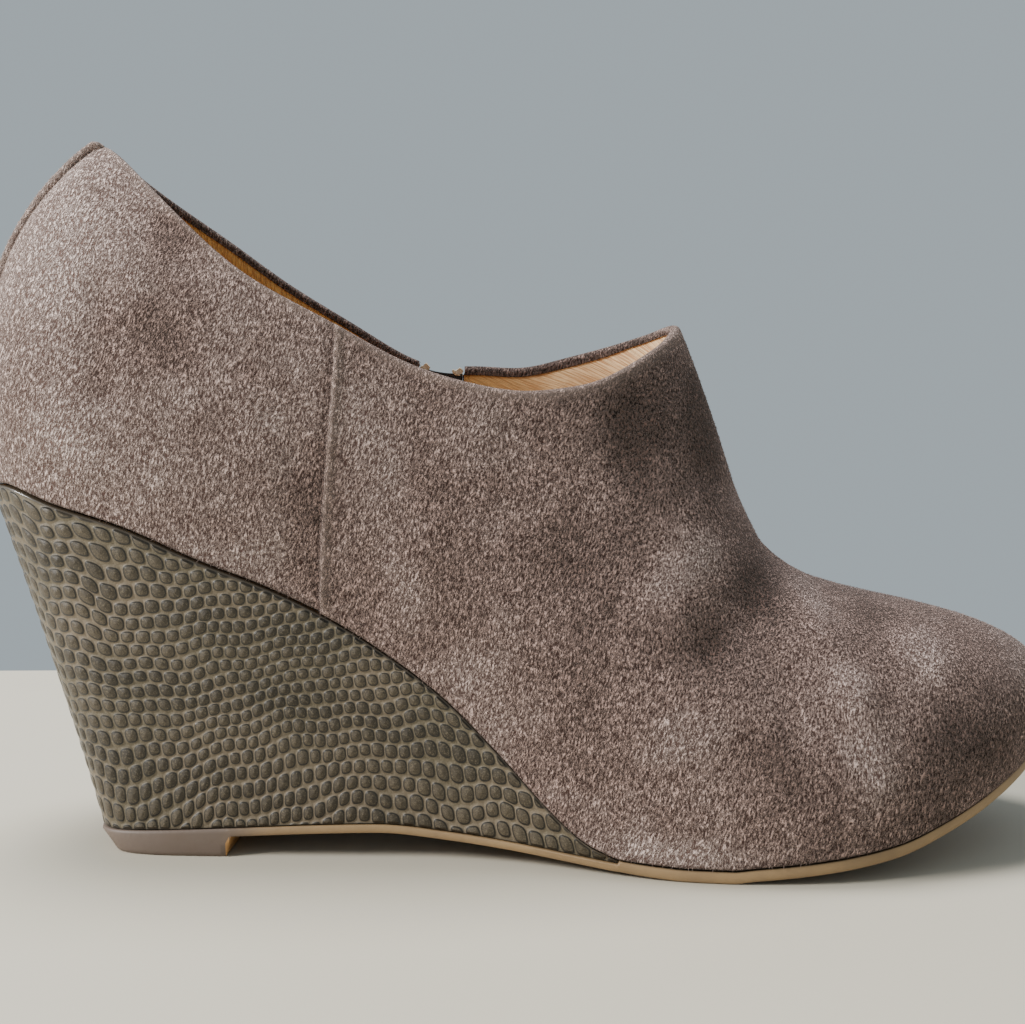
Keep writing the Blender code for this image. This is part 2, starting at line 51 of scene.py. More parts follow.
# Sizes of the last, sole and zip as in the construction: metres, section numbers, and the wedge's
# tip as a share of the foot's length
FOOT_LENGTH = 0.2345
BALL_WIDTH = 0.0825
COLLAR_WIDTH = 0.0550
HEEL_RISE = 0.0791
SHAFT_RISE = 0.0759
HEEL_OVERHANG = 0.0428
SOLE = 0.0025
ARCH_SOLE = 0.0018
ARCH_RISE = 0.0054
TOE_SPRING = 0.0180
HEEL_BREAST = 0.0123
BREAST_SLANT = 0.0012
HEEL_BEVEL = 0.0045
EDGE_ROUND = 0.0006
SOLE_EDGE = 0.0004
WALL = 0.0018
OVERLAY = 0.0007
GAP = 0.0003
INSOLE = 0.0030
WEDGE_LEDGE = 0.0005
WEDGE_HOLLOW = 0.0003
STAY_HALF_WIDTH = 0.0090
SLOT_WIDTH = 0.0112
SLOT_FLOOR = 0.1875
SECTIONS = 32
TOE_SECTION = 16
SEAM_SECTION = 6.1
ZIP_AT_COLLAR = 24.63
ZIP_AT_FOOT = 25.05
WEDGE_TIP = 0.584

# Collar: how far its edge is folded in, less within some sections of the throat; and how far it
# rises there, from which section past the toe's, over how many and which share of the wall
FOLD_DEPTH = 0.0019
THROAT_FOLD = 0.0013
THROAT_SECTIONS = (1.5, 6.0)
LEAST_FOLD = 0.0002
THROAT_LIFT = 0.0015
LIFT_MIDDLE = 0.4
LIFT_SECTIONS = 1.6
LIFT_SHARE = (0.7, 1.0)

# Edges and seams of the suede panels
EDGE_ROLL = 0.0008
FOOT_ROLL_SHARE = 0.8
SEAM_TUCK = 0.0020
SEAM_BEAD = 0.00040
BEAD_FROM_EDGE = 0.0010
BEAD_REACH = 0.0007
BEAD_FADE = 0.004
SEAM_GROOVE = 0.00035
GROOVE_REACH = 0.0015
CUT_WAVES = (
    # size, waves, start
    (0.00010, 61, 0.0),
    (0.00007, 143, 2.0),
)

# Painted shadow in seams and folds, and wear with painted highlight on edges: their strength and
# reach
FOOT_SHADE = (0.85, 0.0005)
SEAM_SHADE = (0.5, 0.0006)
FOLD_SHADE = 0.55
RIM_SHADE = 0.25
EDGE_WEAR_AND_HIGHLIGHT = (0.50, 0.0013)
COLLAR_WEAR_AND_HIGHLIGHT = (0.45, 0.0008)

# Leather at the wedge's upper edge, and its seam down the heel's back; and metres over which the
# pressing starts beside the seam, below the upper edge and above the lower one
WEDGE_ROLL = 0.0007
WEDGE_ROLL_DEPTH = 0.8
WEDGE_ROLL_SHARE = 0.03
WEDGE_ROLL_ROOM = (0.0008, 0.004)
WEDGE_SEAM = 0.0003
PRESSED_FROM_SEAM = (0.0002, 0.0007)
PRESSED_FROM_TOP = (0.0003, 0.0010)
PRESSED_FROM_BASE = (-0.0002, 0.0005)

# Lining leather, its gap to the suede and its thinner band at the collar
LINING = 0.0008
LINING_GAP = 0.00005
LINING_LEAST = 0.0001
LINING_BAND = 0.0005
BAND_SHARE = (0.975, 1.0)
LINING_REACH = 0.92

# Zip
ZIP_TAPE = 0.0010
TAPE_DROP = 0.0016
TAPE_BELOW_SLOT = 0.010
TAPE_HEM = 0.0003
ZIP_CORD = 0.0026
CORD_REACH = 0.0005
CORD_HEIGHT = 0.00045
CREAM_ENDS = ((-0.0052, -0.0026), (0.0030, 0.0052))
CREAM_THICKNESS = 0.0011
CREAM_HEIGHT = 0.0016
CREAM_ABOVE_TAPE = 0.0003
TOOTH = (0.0026, 0.0013, 0.00085)
TOOTH_PITCH = 0.00095
TOOTH_OFFSET = 0.0007
TOOTH_END_SHARE = 0.7
TEETH_ABOVE_SLOT = 0.0012
TEETH_SUNK = 0.0001

# Lower edge of the upper: shares of FOOT_LENGTH and BALL_WIDTH
FOOT_PLAN = (
    # along, outer, inner
    (0.000, 0.000, 0.000),
    (0.005, 0.109, 0.109),
    (0.025, 0.230, 0.230),
    (0.068, 0.319, 0.319),
    (0.136, 0.361, 0.358),
    (0.222, 0.376, 0.361),
    (0.316, 0.366, 0.327),
    (0.409, 0.372, 0.315),
    (0.503, 0.416, 0.355),
    (0.597, 0.485, 0.430),
    (0.682, 0.528, 0.473),
    (0.768, 0.525, 0.468),
    (0.844, 0.458, 0.430),
    (0.908, 0.355, 0.364),
    (0.957, 0.228, 0.267),
    (0.987, 0.091, 0.158),
    (1.000, -0.036, 0.036),
)

# Lower outline of the wedge, where it leaves the line above
BASE_PLAN = (
    # along, outer, inner
    (0.1085, 0.000, 0.000),
    (0.1088, 0.100, 0.100),
    (0.1125, 0.202, 0.202),
    (0.1320, 0.274, 0.274),
    (0.1790, 0.305, 0.303),
    (0.2430, 0.315, 0.305),
    (0.3240, 0.327, 0.297),
    (0.4090, 0.339, 0.297),
    (0.5030, 0.395, 0.342),
)

# Collar edge: shares of FOOT_LENGTH, COLLAR_WIDTH and SHAFT_RISE
COLLAR_PLAN = (
    # along, half width, outer rise, inner rise
    (0.098, 0.000, 1.000, 1.000),
    (0.106, 0.109, 0.983, 0.982),
    (0.128, 0.191, 0.942, 0.921),
    (0.162, 0.291, 0.843, 0.839),
    (0.209, 0.391, 0.702, 0.736),
    (0.264, 0.455, 0.561, 0.613),
    (0.333, 0.487, 0.441, 0.481),
    (0.397, 0.496, 0.333, 0.372),
    (0.452, 0.500, 0.274, 0.358),
    (0.499, 0.491, 0.249, 0.353),
    (0.537, 0.464, 0.257, 0.376),
    (0.567, 0.418, 0.279, 0.401),
    (0.593, 0.360, 0.319, 0.423),
    (0.614, 0.291, 0.361, 0.440),
    (0.631, 0.209, 0.398, 0.449),
    (0.644, 0.109, 0.432, 0.452),
    (0.650, 0.000, 0.449, 0.449),
)

# Rise of the wall between its edges, a row for every second section
WALL_CURVE = (
    # swell, stand, reach, dip, hook
    (0.063, 0.435, 0.445, 0.29, 0.00),
    (0.055, 0.400, 0.310, 0.29, 0.00),
    (0.039, 0.360, 0.145, 0.33, 0.00),
    (0.030, 0.330, 0.090, 0.36, 0.00),
    (0.030, 0.300, 0.090, 0.42, 0.00),
    (0.040, 0.290, 0.160, 0.53, 0.06),
    (0.100, 0.370, 0.380, 0.74, 0.32),
    (0.240, 0.500, 0.550, 0.89, 0.72),
    (0.315, 0.567, 0.660, 0.947, 0.916),
)

# Height of the upper's lower edge over the wedge: shares of FOOT_LENGTH and HEEL_RISE
WEDGE_TOP = (
    # along, rise
    (0.000, 1.000),
    (0.032, 0.996),
    (0.090, 0.941),
    (0.151, 0.885),
    (0.222, 0.794),
    (0.274, 0.733),
    (0.324, 0.661),
    (0.378, 0.563),
    (0.431, 0.446),
    (0.483, 0.295),
    (0.534, 0.135),
    (0.560, 0.075),
)

# Underside of the sole without its heel: shares of FOOT_LENGTH, ARCH_RISE and TOE_SPRING
TREAD = (
    # along, arch, toe
    (0.095, 0.48, 0.000),
    (0.171, 0.65, 0.000),
    (0.239, 0.78, 0.000),
    (0.328, 0.96, 0.000),
    (0.375, 1.00, 0.000),
    (0.433, 0.80, 0.000),
    (0.490, 0.56, 0.000),
    (0.546, 0.30, 0.000),
    (0.584, 0.15, 0.000),
    (0.618, 0.045, 0.000),
    (0.640, 0.00, 0.000),
    (0.678, 0.00, 0.000),
    (0.695, 0.00, 0.028),
    (0.729, 0.00, 0.072),
    (0.780, 0.00, 0.150),
    (0.823, 0.00, 0.240),
    (0.866, 0.00, 0.410),
    (0.900, 0.00, 0.570),
    (0.925, 0.00, 0.700),
    (0.964, 0.00, 0.890),
    (1.000, 0.00, 1.000),
)


class Loop:
    """A closed smooth curve through knots that are evenly spaced in section number."""

    def __init__(self, knots):
        self.knots = np.array(knots, dtype=float)
        count = len(self.knots)
        one = np.eye(count)
        links = 4.0 * one + np.roll(one, 1, axis=1) + np.roll(one, -1, axis=1)
        spans = np.roll(self.knots, -1, axis=0) - np.roll(self.knots, 1, axis=0)
        self.slopes = np.linalg.solve(links, 3.0 * spans)

    def at(self, section):
        count = len(self.knots)
        place = (np.asarray(section, dtype=float) / SECTIONS * count) % count
        low = np.floor(place).astype(int) % count
        high = (low + 1) % count
        t = (place - np.floor(place))[..., None]
        start = self.knots[low] * (1 + 2 * t) + self.slopes[low] * t
        end = self.knots[high] * (3 - 2 * t) + self.slopes[high] * (t - 1)
        return start * (1 - t) ** 2 + end * t ** 2


def follow(rows, column, x):
    """Read a table's column at x with a smooth curve that never overshoots its rows."""
    xs = np.array([row[0] for row in rows])
    ys = np.array([row[column] for row in rows])
    rises = np.diff(ys) / np.diff(xs)
    left, right = rises[:-1], rises[1:]
    total = np.where(left * right > 0, left + right, 1.0)
    inner = np.where(left * right > 0, 2 * left * right / total, 0.0)
    slopes = np.concatenate(([rises[0]], inner, [rises[-1]]))
    x = np.clip(x, xs[0], xs[-1])
    i = np.clip(np.searchsorted(xs, x, side="right") - 1, 0, len(xs) - 2)
    span = xs[i + 1] - xs[i]
    t = (x - xs[i]) / span
    start = ys[i] * (1 + 2 * t) + slopes[i] * span * t
    end = ys[i + 1] * (3 - 2 * t) + slopes[i + 1] * span * (t - 1)
    return start * (1 - t) ** 2 + end * t ** 2


def both_sides(rows, outer, inner):
    """Knots from the heel's back along the outer side and back along the inner side."""
    return [outer(row) for row in rows] + [inner(row) for row in rows[-2:0:-1]]


def x_at(along):
    """Place of a share of the foot's length."""
    return along * FOOT_LENGTH - HEEL_OVERHANG


def along_at(x):
    """Share of the foot's length at x."""
    return (x + HEEL_OVERHANG) / FOOT_LENGTH


def plan_loop(rows):
    """Outline seen from above."""
    return Loop(both_sides(
        rows,
        lambda row: (x_at(row[0]), -row[1] * BALL_WIDTH),
        lambda row: (x_at(row[0]), row[2] * BALL_WIDTH)))


FOOT_LOOP = plan_loop(FOOT_PLAN)
BASE_LOOP = plan_loop(BASE_PLAN + FOOT_PLAN[len(BASE_PLAN):])
COLLAR_LOOP = Loop(both_sides(
    COLLAR_PLAN,
    lambda row: (x_at(row[0]), -row[1] * COLLAR_WIDTH, HEEL_RISE + row[2] * SHAFT_RISE),
    lambda row: (x_at(row[0]), row[1] * COLLAR_WIDTH, HEEL_RISE + row[3] * SHAFT_RISE)))
CURVE_LOOP = Loop(both_sides(WALL_CURVE, lambda row: row, lambda row: row))


def tread_z(x):
    """Underside of the sole, without the heel block."""
    along = along_at(x)
    return ARCH_RISE * follow(TREAD, 1, along) + TOE_SPRING * follow(TREAD, 2, along)


def sole_bottom_z(x):
    """Underside of the sole, flat under the heel block up to its slanted breast."""
    slant = np.clip((x - HEEL_BREAST) / BREAST_SLANT, 0.0, 1.0)
    return tread_z(x) * slant


TIP_ROW = (WEDGE_TIP, float(tread_z(x_at(WEDGE_TIP)) + SOLE + GAP) / HEEL_RISE)


def feather_z(x):
    """Height of the upper's lower edge: on the sole in front, on the wedge behind."""
    on_sole = tread_z(x) + SOLE + GAP
    on_wedge = HEEL_RISE * follow(WEDGE_TOP + (TIP_ROW,), 1, along_at(x))
    return np.where(along_at(x) >= WEDGE_TIP, on_sole, on_wedge)


def sole_top_z(x):
    """Upper face of the sole, thinner under the wedge."""
    return tread_z(x) + np.where(along_at(x) < WEDGE_TIP, ARCH_SOLE, SOLE)


def plan_normal(loop, section):
    """Direction pointing straight out of a loop, seen from above."""
    step = loop.at(section + 0.01)[..., :2] - loop.at(section - 0.01)[..., :2]
    step = step / np.linalg.norm(step, axis=-1, keepdims=True)
    return np.stack((step[..., 1], -step[..., 0]), axis=-1)


def outset(loop, section, distance):
    """Points a distance straight out of a loop, seen from above."""
    distance = np.asarray(distance, dtype=float)[..., None]
    return loop.at(section)[..., :2] + plan_normal(loop, section) * distance


def lift(flat, height):
    """Flat points with a height added."""
    return np.concatenate((flat, np.asarray(height, dtype=float)[..., None]), axis=-1)


def wall_point(section, v):
    """Plain outer face of the upper."""
    section = np.asarray(section, dtype=float)
    v = np.asarray(v, dtype=float) + 0 * section
    foot_xy = FOOT_LOOP.at(section)
    foot = lift(foot_xy, feather_z(foot_xy[..., 0]))
    collar = COLLAR_LOOP.at(section)
    swell, stand, reach, dip, hook = np.moveaxis(CURVE_LOOP.at(section), -1, 0)
    climb = collar[..., 2] - foot[..., 2]
    out_low = plan_normal(FOOT_LOOP, section) * (swell * BALL_WIDTH)[..., None]
    out_high = plan_normal(COLLAR_LOOP, section) * (reach * COLLAR_WIDTH)[..., None]
    low = foot + lift(out_low, stand * climb)
    high = collar + lift(out_high, -dip * climb)
    inward = (collar - foot) * (1, 1, 0)
    inward = inward / np.linalg.norm(inward, axis=-1, keepdims=True)
    middle = (low + high) / 2 + inward * (hook * BALL_WIDTH)[..., None]
    low = (foot + 3 * low) / 4
    high = (collar + 3 * high) / 4
    t = v[..., None]
    u = 1 - t
    return (foot * u ** 4 + low * 4 * t * u ** 3 + middle * 6 * t * t * u * u
            + high * 4 * t ** 3 * u + collar * t ** 4)


def wall_pace(section, v):
    """Metres of girth for each section number."""
    step = wall_point(section + 0.05, v) - wall_point(section - 0.05, v)
    return np.linalg.norm(step, axis=-1) / 0.1


def wall_climb(section, v):
    """Direction up the wall."""
    low = np.clip(np.asarray(v, dtype=float) - 0.01, 0.0, 1.0)
    high = np.clip(np.asarray(v, dtype=float) + 0.01, 0.0, 1.0)
    step = wall_point(section, high) - wall_point(section, low)
    return step / np.linalg.norm(step, axis=-1, keepdims=True)


def wall_normal(section, v):
    """Direction straight out of the wall."""
    around = wall_point(section + 0.02, v) - wall_point(section - 0.02, v)
    normal = np.cross(around, wall_climb(section, v))
    return normal / np.linalg.norm(normal, axis=-1, keepdims=True)


def wall_length(section):
    """Metres from the lower edge to the collar."""
    points = wall_point(section, 0.5)
    low = wall_point(section, 0.0)
    high = wall_point(section, 1.0)
    return np.linalg.norm(points - low, axis=-1) + np.linalg.norm(high - points, axis=-1)


def zip_section(v, side):
    """Section number at a distance from the zip's middle; side is metres toward the heel."""
    middle = ZIP_AT_FOOT + (ZIP_AT_COLLAR - ZIP_AT_FOOT) * np.asarray(v, dtype=float)
    return middle + side / wall_pace(middle, v)


def beside(section, v, distance):
    """Section number a distance in metres further round the wall."""
    return section + distance / wall_pace(section, v)


# Scales of the wedge, in metres: their pitch along and up the side, and how their rows bend
SCALE_ALONG = (
    # distance from the heel's back, pitch
    (0.000, 0.0033),
    (0.030, 0.0034),
    (0.045, 0.0031),
    (0.062, 0.0026),
    (0.080, 0.0026),
    (0.100, 0.0028),
    (0.150, 0.0030),
)
SCALE_UP = (
    # height, pitch
    (0.000, 0.0041),
    (0.014, 0.0039),
    (0.027, 0.0031),
    (0.040, 0.0028),
    (0.060, 0.0030),
    (0.085, 0.0033),
)
SCALE_FLOW = (
    # distance from the heel's back, height of a row over level, backward lean of a column, crowding
    (-0.010, 0.0000, 0.30, 0.87),
    (0.005, 0.0000, 0.30, 0.87),
    (0.020, -0.0028, 0.27, 0.86),
    (0.036, -0.0036, 0.18, 0.90),
    (0.058, 0.0005, 0.09, 1.05),
    (0.080, 0.0050, 0.06, 1.08),
    (0.100, 0.0068, 0.15, 1.02),
    (0.125, 0.0068, 0.27, 0.97),
    (0.150, 0.0060, 0.34, 0.95),
)
CALM_ROW_HEIGHT = 0.035
FIRST_ROW = 20

# Each scale's shift sideways and upward, squatness, difference in size from its neighbours and
# reach, in shares of the pitch; how square it is; and its height in metres
SCALE_SWAY = 0.11
SCALE_RISE = 0.09
SCALE_SHAPE = 1.04
SCALE_UNEVEN = 0.035
SCALE_REACH = 0.500
SCALE_GAP = 0.75
SCALE_SQUARE = 2.7
SCALE_HEIGHT = 0.00014
FARTHEST = 9.0


class Value:
    """A shader value that Python's operators can work on."""

    def __init__(self, finish, socket):
        self.finish = finish
        self.socket = socket

    def __add__(self, other):
        return self.finish.math("ADD", self, other)

    def __sub__(self, other):
        return self.finish.math("SUBTRACT", self, other)

    def __rsub__(self, other):
        return self.finish.math("SUBTRACT", other, self)

    def __mul__(self, other):
        return self.finish.math("MULTIPLY", self, other)

    def __pow__(self, other):
        return self.finish.math("POWER", self, other)

    __radd__ = __add__
    __rmul__ = __mul__


class Finish:
    """A material, with one method that adds any node."""

    def __init__(self, name, **constants):
        self.material = bpy.data.materials.new(name)
        self.material.use_nodes = True
        self.tree = self.material.node_tree
        self.shader = self.tree.nodes["Principled BSDF"]
        self.paint(**constants)
        self.coordinates = self.node("ShaderNodeTexCoord").outputs["Object"]

    def node(self, kind, inputs=None, stops=None, **settings):
        """Any node, with its settings, what feeds its inputs and a ramp's colours."""
        node = self.tree.nodes.new(kind)
        for key, value in settings.items():
            setattr(node, key, value)
        if stops:
            ramp = node.color_ramp
            while len(ramp.elements) < len(stops):
                ramp.elements.new(0.5)
            for element, (position, colour) in zip(ramp.elements, stops):
                element.position = position
                element.color = (*colour, 1.0)
        for key, value in (inputs or {}).items():
            self.feed(node.inputs[key], value)
        return node

    def feed(self, socket, value):
        """Link or set an input."""
        if isinstance(value, Value):
            value = value.socket
        if isinstance(value, bpy.types.NodeSocket):
            self.tree.links.new(value, socket)
        elif isinstance(value, tuple) and socket.type == "RGBA":
            socket.default_value = (*value, 1.0)
        else:
            socket.default_value = value

    def math(self, operation, *values):
        node = self.node("ShaderNodeMath", operation=operation)
        for socket, value in zip(node.inputs, values):
            self.feed(socket, value)
        return Value(self, node.outputs[0])

    def clamp(self, value, low=0.0, high=1.0):
        return self.math("MINIMUM", self.math("MAXIMUM", value, low), high)

    def step(self, value, start, end):
        """0 before start, 1 after end, smooth between."""
        node = self.node("ShaderNodeMapRange", {"Value": value, "From Min": start, "From Max": end},
                         interpolation_type="SMOOTHSTEP")
        return Value(self, node.outputs["Result"])

    def turned(self, angle, scale, vector=None):
        """Coordinates turned about the across axis, then stretched."""
        node = self.node("ShaderNodeMapping", {
            "Vector": vector or self.coordinates, "Rotation": (0.0, angle, 0.0)})
        node = self.node("ShaderNodeMapping", {"Vector": node.outputs["Vector"], "Scale": scale})
        return node.outputs["Vector"]

    def noise(self, scale, detail=2.0, roughness=0.5, distortion=0.0, vector=None):
        node = self.node("ShaderNodeTexNoise", {
            "Vector": vector or self.coordinates, "Scale": scale, "Detail": detail,
            "Roughness": roughness, "Distortion": distortion})
        return Value(self, node.outputs["Fac"])

    def cells(self, scale, vector=None):
        """Distance to the nearest of scattered points."""
        node = self.node("ShaderNodeTexVoronoi", {
            "Vector": vector or self.coordinates, "Scale": scale})
        return Value(self, node.outputs["Distance"])

    def attribute(self, name):
        """A value that the piece's points carry."""
        return Value(self, self.node("ShaderNodeAttribute", attribute_name=name).outputs["Fac"])

    def axis(self, name):
        node = self.node("ShaderNodeSeparateXYZ", {"Vector": self.coordinates})
        return Value(self, node.outputs[name])

    def blend(self, factor, first, second):
        """The first colour where factor is 0, the second where it is 1."""
        node = self.node("ShaderNodeMix", data_type="RGBA", blend_type="MIX", clamp_factor=True)
        self.feed(node.inputs["Factor"], factor)
        self.feed(node.inputs[6], first)
        self.feed(node.inputs[7], second)
        return node.outputs[2]

    def ramp(self, value, *stops):
        return self.node("ShaderNodeValToRGB", {"Fac": value}, stops=stops).outputs["Color"]

    def bump(self, height, depth, strength=1.0, normal=None):
        """Normals of a relief of this depth in metres, over those of another."""
        inputs = {"Height": height, "Distance": depth, "Strength": strength}
        if normal is not None:
            inputs["Normal"] = normal
        return self.node("ShaderNodeBump", inputs).outputs["Normal"]

    def paint(self, **sockets):
        """Set the shader's own inputs and give the material."""
        for key, value in sockets.items():
            self.feed(self.shader.inputs[key.replace("_", " ")], value)
        return self.material


def srgb(red, green, blue):
    """A colour as the eye names it, 0 to 255, made linear."""
    def linear(value):
        value = value / 255
        return value / 12.92 if value <= 0.04045 else ((value + 0.055) / 1.055) ** 2.4
    return (linear(red), linear(green), linear(blue))


def suede_finish():
    """Brushed suede: broad patches where the nap lies another way, with painted light toward the
    heel and painted light and shade in places, under short curled fibres.
    """
    finish = Finish("taupe suede", Sheen_Weight=0.35, Sheen_Roughness=0.45,
                    Sheen_Tint=srgb(214, 196, 184), Specular_IOR_Level=0.12)
    drift = finish.step(finish.noise(45, 2.0, 0.5), 0.35, 0.65)
    sway = finish.node("ShaderNodeTexNoise", {
        "Vector": finish.coordinates, "Scale": 90.0, "Detail": 2.0}).outputs["Color"]
    sway = finish.node("ShaderNodeVectorMath", {0: sway, 1: (0.0014, 0.0014, 0.0014)},
                       operation="MULTIPLY").outputs["Vector"]
    swirl = finish.node("ShaderNodeVectorMath", {0: finish.coordinates, 1: sway},
                        operation="ADD").outputs["Vector"]
    patches = finish.noise(24, 3.0, 0.5, 0.5)
    mottle = finish.noise(105, 4.0, 0.62, 0.3)

    def tufts(angle, scale):
        return finish.noise(1, 2.0, 0.6, 0.0, finish.turned(angle, scale, swirl)) - 0.5

    slanted = tufts(-0.42, (2900, 1900, 1050))
    upright = tufts(-0.05, (2600, 1800, 950))
    fluff = finish.noise(3400, 2.0, 0.6)
    pile = slanted * (3.7 - drift * 1.3) + upright * (1.5 + drift * 1.6) + (fluff - 0.5) * 2.3
    pile = finish.clamp(pile + 0.46)
    # Lightness: random patches and mottle, plus the painted light and shade that the points carry
    lay_and_light = patches * 0.50 + mottle * 0.42 + finish.attribute("nap_and_light") * 0.60 + 0.04
    under = finish.ramp(lay_and_light, (0.25, srgb(24, 15, 12)), (0.50, srgb(58, 40, 35)),
                        (0.90, srgb(112, 88, 81)))
    over = finish.ramp(lay_and_light, (0.25, srgb(112, 87, 78)), (0.50, srgb(190, 160, 150)),
                       (0.90, srgb(255, 233, 224)))
    colour = finish.blend(pile, under, over)
    colour = finish.blend(finish.attribute("shade"), colour, srgb(30, 22, 20))
    # Cut and collar edges painted lighter: partly wear, partly painted highlight where the rolled
    # edge catches the light
    worn_and_highlight = finish.attribute("wear_and_highlight") * (0.15 + fluff * 0.9)
    colour = finish.blend(worn_and_highlight, colour, srgb(190, 169, 157))
    normal = finish.bump(pile, 0.00090, 1.0, finish.bump(mottle, 0.0010, 0.4))
    return finish.paint(Base_Color=colour, Roughness=0.93, Normal=normal)


def nap_finish():
    """The loose fibres of the suede: dark at the root, paler at the tip."""
    finish = Finish("suede nap fibres", Sheen_Weight=0.3, Sheen_Roughness=0.5,
                    Specular_IOR_Level=0.2)
    patches = finish.noise(24, 3.0, 0.5, 0.5)
    # The fibres carry the same painted light and shade as the suede below them
    lay_and_light = patches * 0.5 + finish.attribute("nap_and_light") * 0.6 + finish.attribute("tone") * 0.42
    root = finish.ramp(lay_and_light, (0.25, srgb(60, 46, 40)), (0.90, srgb(128, 108, 99)))
    tip = finish.ramp(lay_and_light, (0.20, srgb(96, 76, 68)), (0.50, srgb(160, 136, 127)),
                      (0.95, srgb(228, 206, 196)))
    colour = finish.blend(finish.attribute("height"), root, tip)
    return finish.paint(Base_Color=colour, Roughness=0.85)


def lining_finish():
    """Smooth golden lining leather: painted paler toward the throat as painted light, and finely
    wrinkled toward the throat with painted shade in the wrinkles' creases.
    """
    finish = Finish("golden lining leather", Specular_IOR_Level=0.25)
    lit_toward_throat = finish.step(finish.axis("X"), 0.050, 0.098)
    clouds = finish.noise(60, 3.0, 0.55)
    rise = finish.attribute("rise")
    around = finish.node("ShaderNodeCombineXYZ", {
        "X": finish.attribute("girth") * 2100, "Y": rise * 30}).outputs["Vector"]
    wrinkles = finish.noise(1.0, 2.0, 0.55, 0.5, around)
    # Painted light: the lining is painted paler toward the throat, where the light falls into it
    colour = finish.blend(lit_toward_throat, srgb(230, 180, 104), srgb(255, 220, 172))
    colour = finish.blend(finish.step(clouds, 0.45, 0.75) * 0.25, colour, srgb(196, 142, 82))
    # Painted shade darkens the creases of the wrinkles
    crease_shade = finish.step(wrinkles, 0.56, 0.42) * finish.step(rise, 0.5, 0.8)
    colour = finish.blend(crease_shade * 0.62, colour, srgb(176, 112, 64))
    pores = finish.bump(finish.cells(1500), 0.00008, 0.4)
    normal = finish.bump(wrinkles, 0.0005, 0.8, pores)
    return finish.paint(Base_Color=colour, Roughness=0.5, Normal=normal)


# The same operations on the numbers of a mesh as on the shader's values
ARRAY_MATH = {
    "ROUND": np.round, "MODULO": np.fmod, "FLOOR": np.floor, "SINE": np.sin, "ABSOLUTE": np.abs,
    "LESS_THAN": np.less, "MINIMUM": np.minimum, "MAXIMUM": np.maximum}


def scale_field(math_of, column, row):
    """Distances to the nearest and next pressed scale and the nearest one's tone, from column and
    row numbers. Scales stand in rows like bricks, each shifted a little. The math is the shader's
    or the mesh's."""
    near, far, tone = FARTHEST, FARTHEST, 0.0
    for up in (-1, 0, 1):
        level = math_of("ROUND", row) + up
        shift = math_of("MODULO", level, 2.0) * 0.5
        start = math_of("FLOOR", column - shift)
        for along in (0, 1):
            number = start + along
            sway = math_of("SINE", number * 12.9 + level * 7.3)
            rise = math_of("SINE", number * 5.1 + level * 11.7)
            size = math_of("SINE", number * 8.3 + level * 3.1)
            across = math_of("ABSOLUTE", number + shift + sway * SCALE_SWAY - column)
            above = math_of("ABSOLUTE", (level + rise * SCALE_RISE - row) * SCALE_SHAPE)
            reach = (across ** SCALE_SQUARE + above ** SCALE_SQUARE) ** (1 / SCALE_SQUARE)
            reach = reach - size * SCALE_UNEVEN
            tone = (sway - tone) * math_of("LESS_THAN", reach, near) + tone
            far = math_of("MINIMUM", far, math_of("MAXIMUM", reach, near))
            near = math_of("MINIMUM", reach, near)
    return near, far, tone * 0.5 + 0.5


def embossed_finish():
    """Semi-gloss embossed leather: dark speckled scales in a slightly paler worn network."""
    finish = Finish("embossed wedge leather", Coat_Roughness=0.10, Specular_IOR_Level=0.35)
    near, far, tone = scale_field(finish.math, finish.attribute("column"), finish.attribute("row"))
    inside = finish.math("SMOOTH_MIN", (far - near) * SCALE_GAP, SCALE_REACH - near, 0.10)
    pressed = finish.attribute("pressed")
    fine = finish.noise(2500, 3.0, 0.75)
    grit = finish.noise(5200, 1.0, 0.5)
    clouds = finish.noise(38, 3.0, 0.5)
    dusty = finish.step(clouds, 0.42, 0.68)
    body = finish.blend(tone * 0.9, srgb(50, 44, 34), srgb(80, 71, 57))
    body = finish.blend(dusty * 0.35, body, srgb(84, 73, 58))
    body = finish.blend(finish.step(fine, 0.50, 0.64) * 0.55, body, srgb(116, 105, 85))
    body = finish.blend(finish.step(grit, 0.46, 0.34) * 0.65, body, srgb(24, 20, 14))
    outline = finish.step(inside, 0.050, 0.075) * finish.step(inside, 0.17, 0.11)
    body = finish.blend(outline * 0.9, body, srgb(20, 17, 12))
    network = finish.blend(dusty, srgb(88, 79, 62), srgb(109, 96, 79))
    network = finish.blend(finish.step(fine, 0.4, 0.7) * 0.45, network, srgb(134, 123, 103))
    colour = finish.blend(finish.step(inside, 0.045, 0.075), network, body)
    colour = finish.blend(1 - pressed, colour, srgb(66, 57, 45))
    dome = finish.step(inside, 0.02, 0.15) + inside * 1.1
    relief = (dome + fine * 0.06) * pressed
    rim = finish.step(inside, 0.03, 0.055) * finish.step(inside, 0.17, 0.11)
    rim = finish.math("MAXIMUM", rim, (1 - pressed) * 0.7)
    return finish.paint(
        Base_Color=colour, Roughness=0.38 + finish.noise(300) * 0.16,
        Coat_Weight=0.10 + rim * 0.60, Normal=finish.bump(relief, 0.00075))


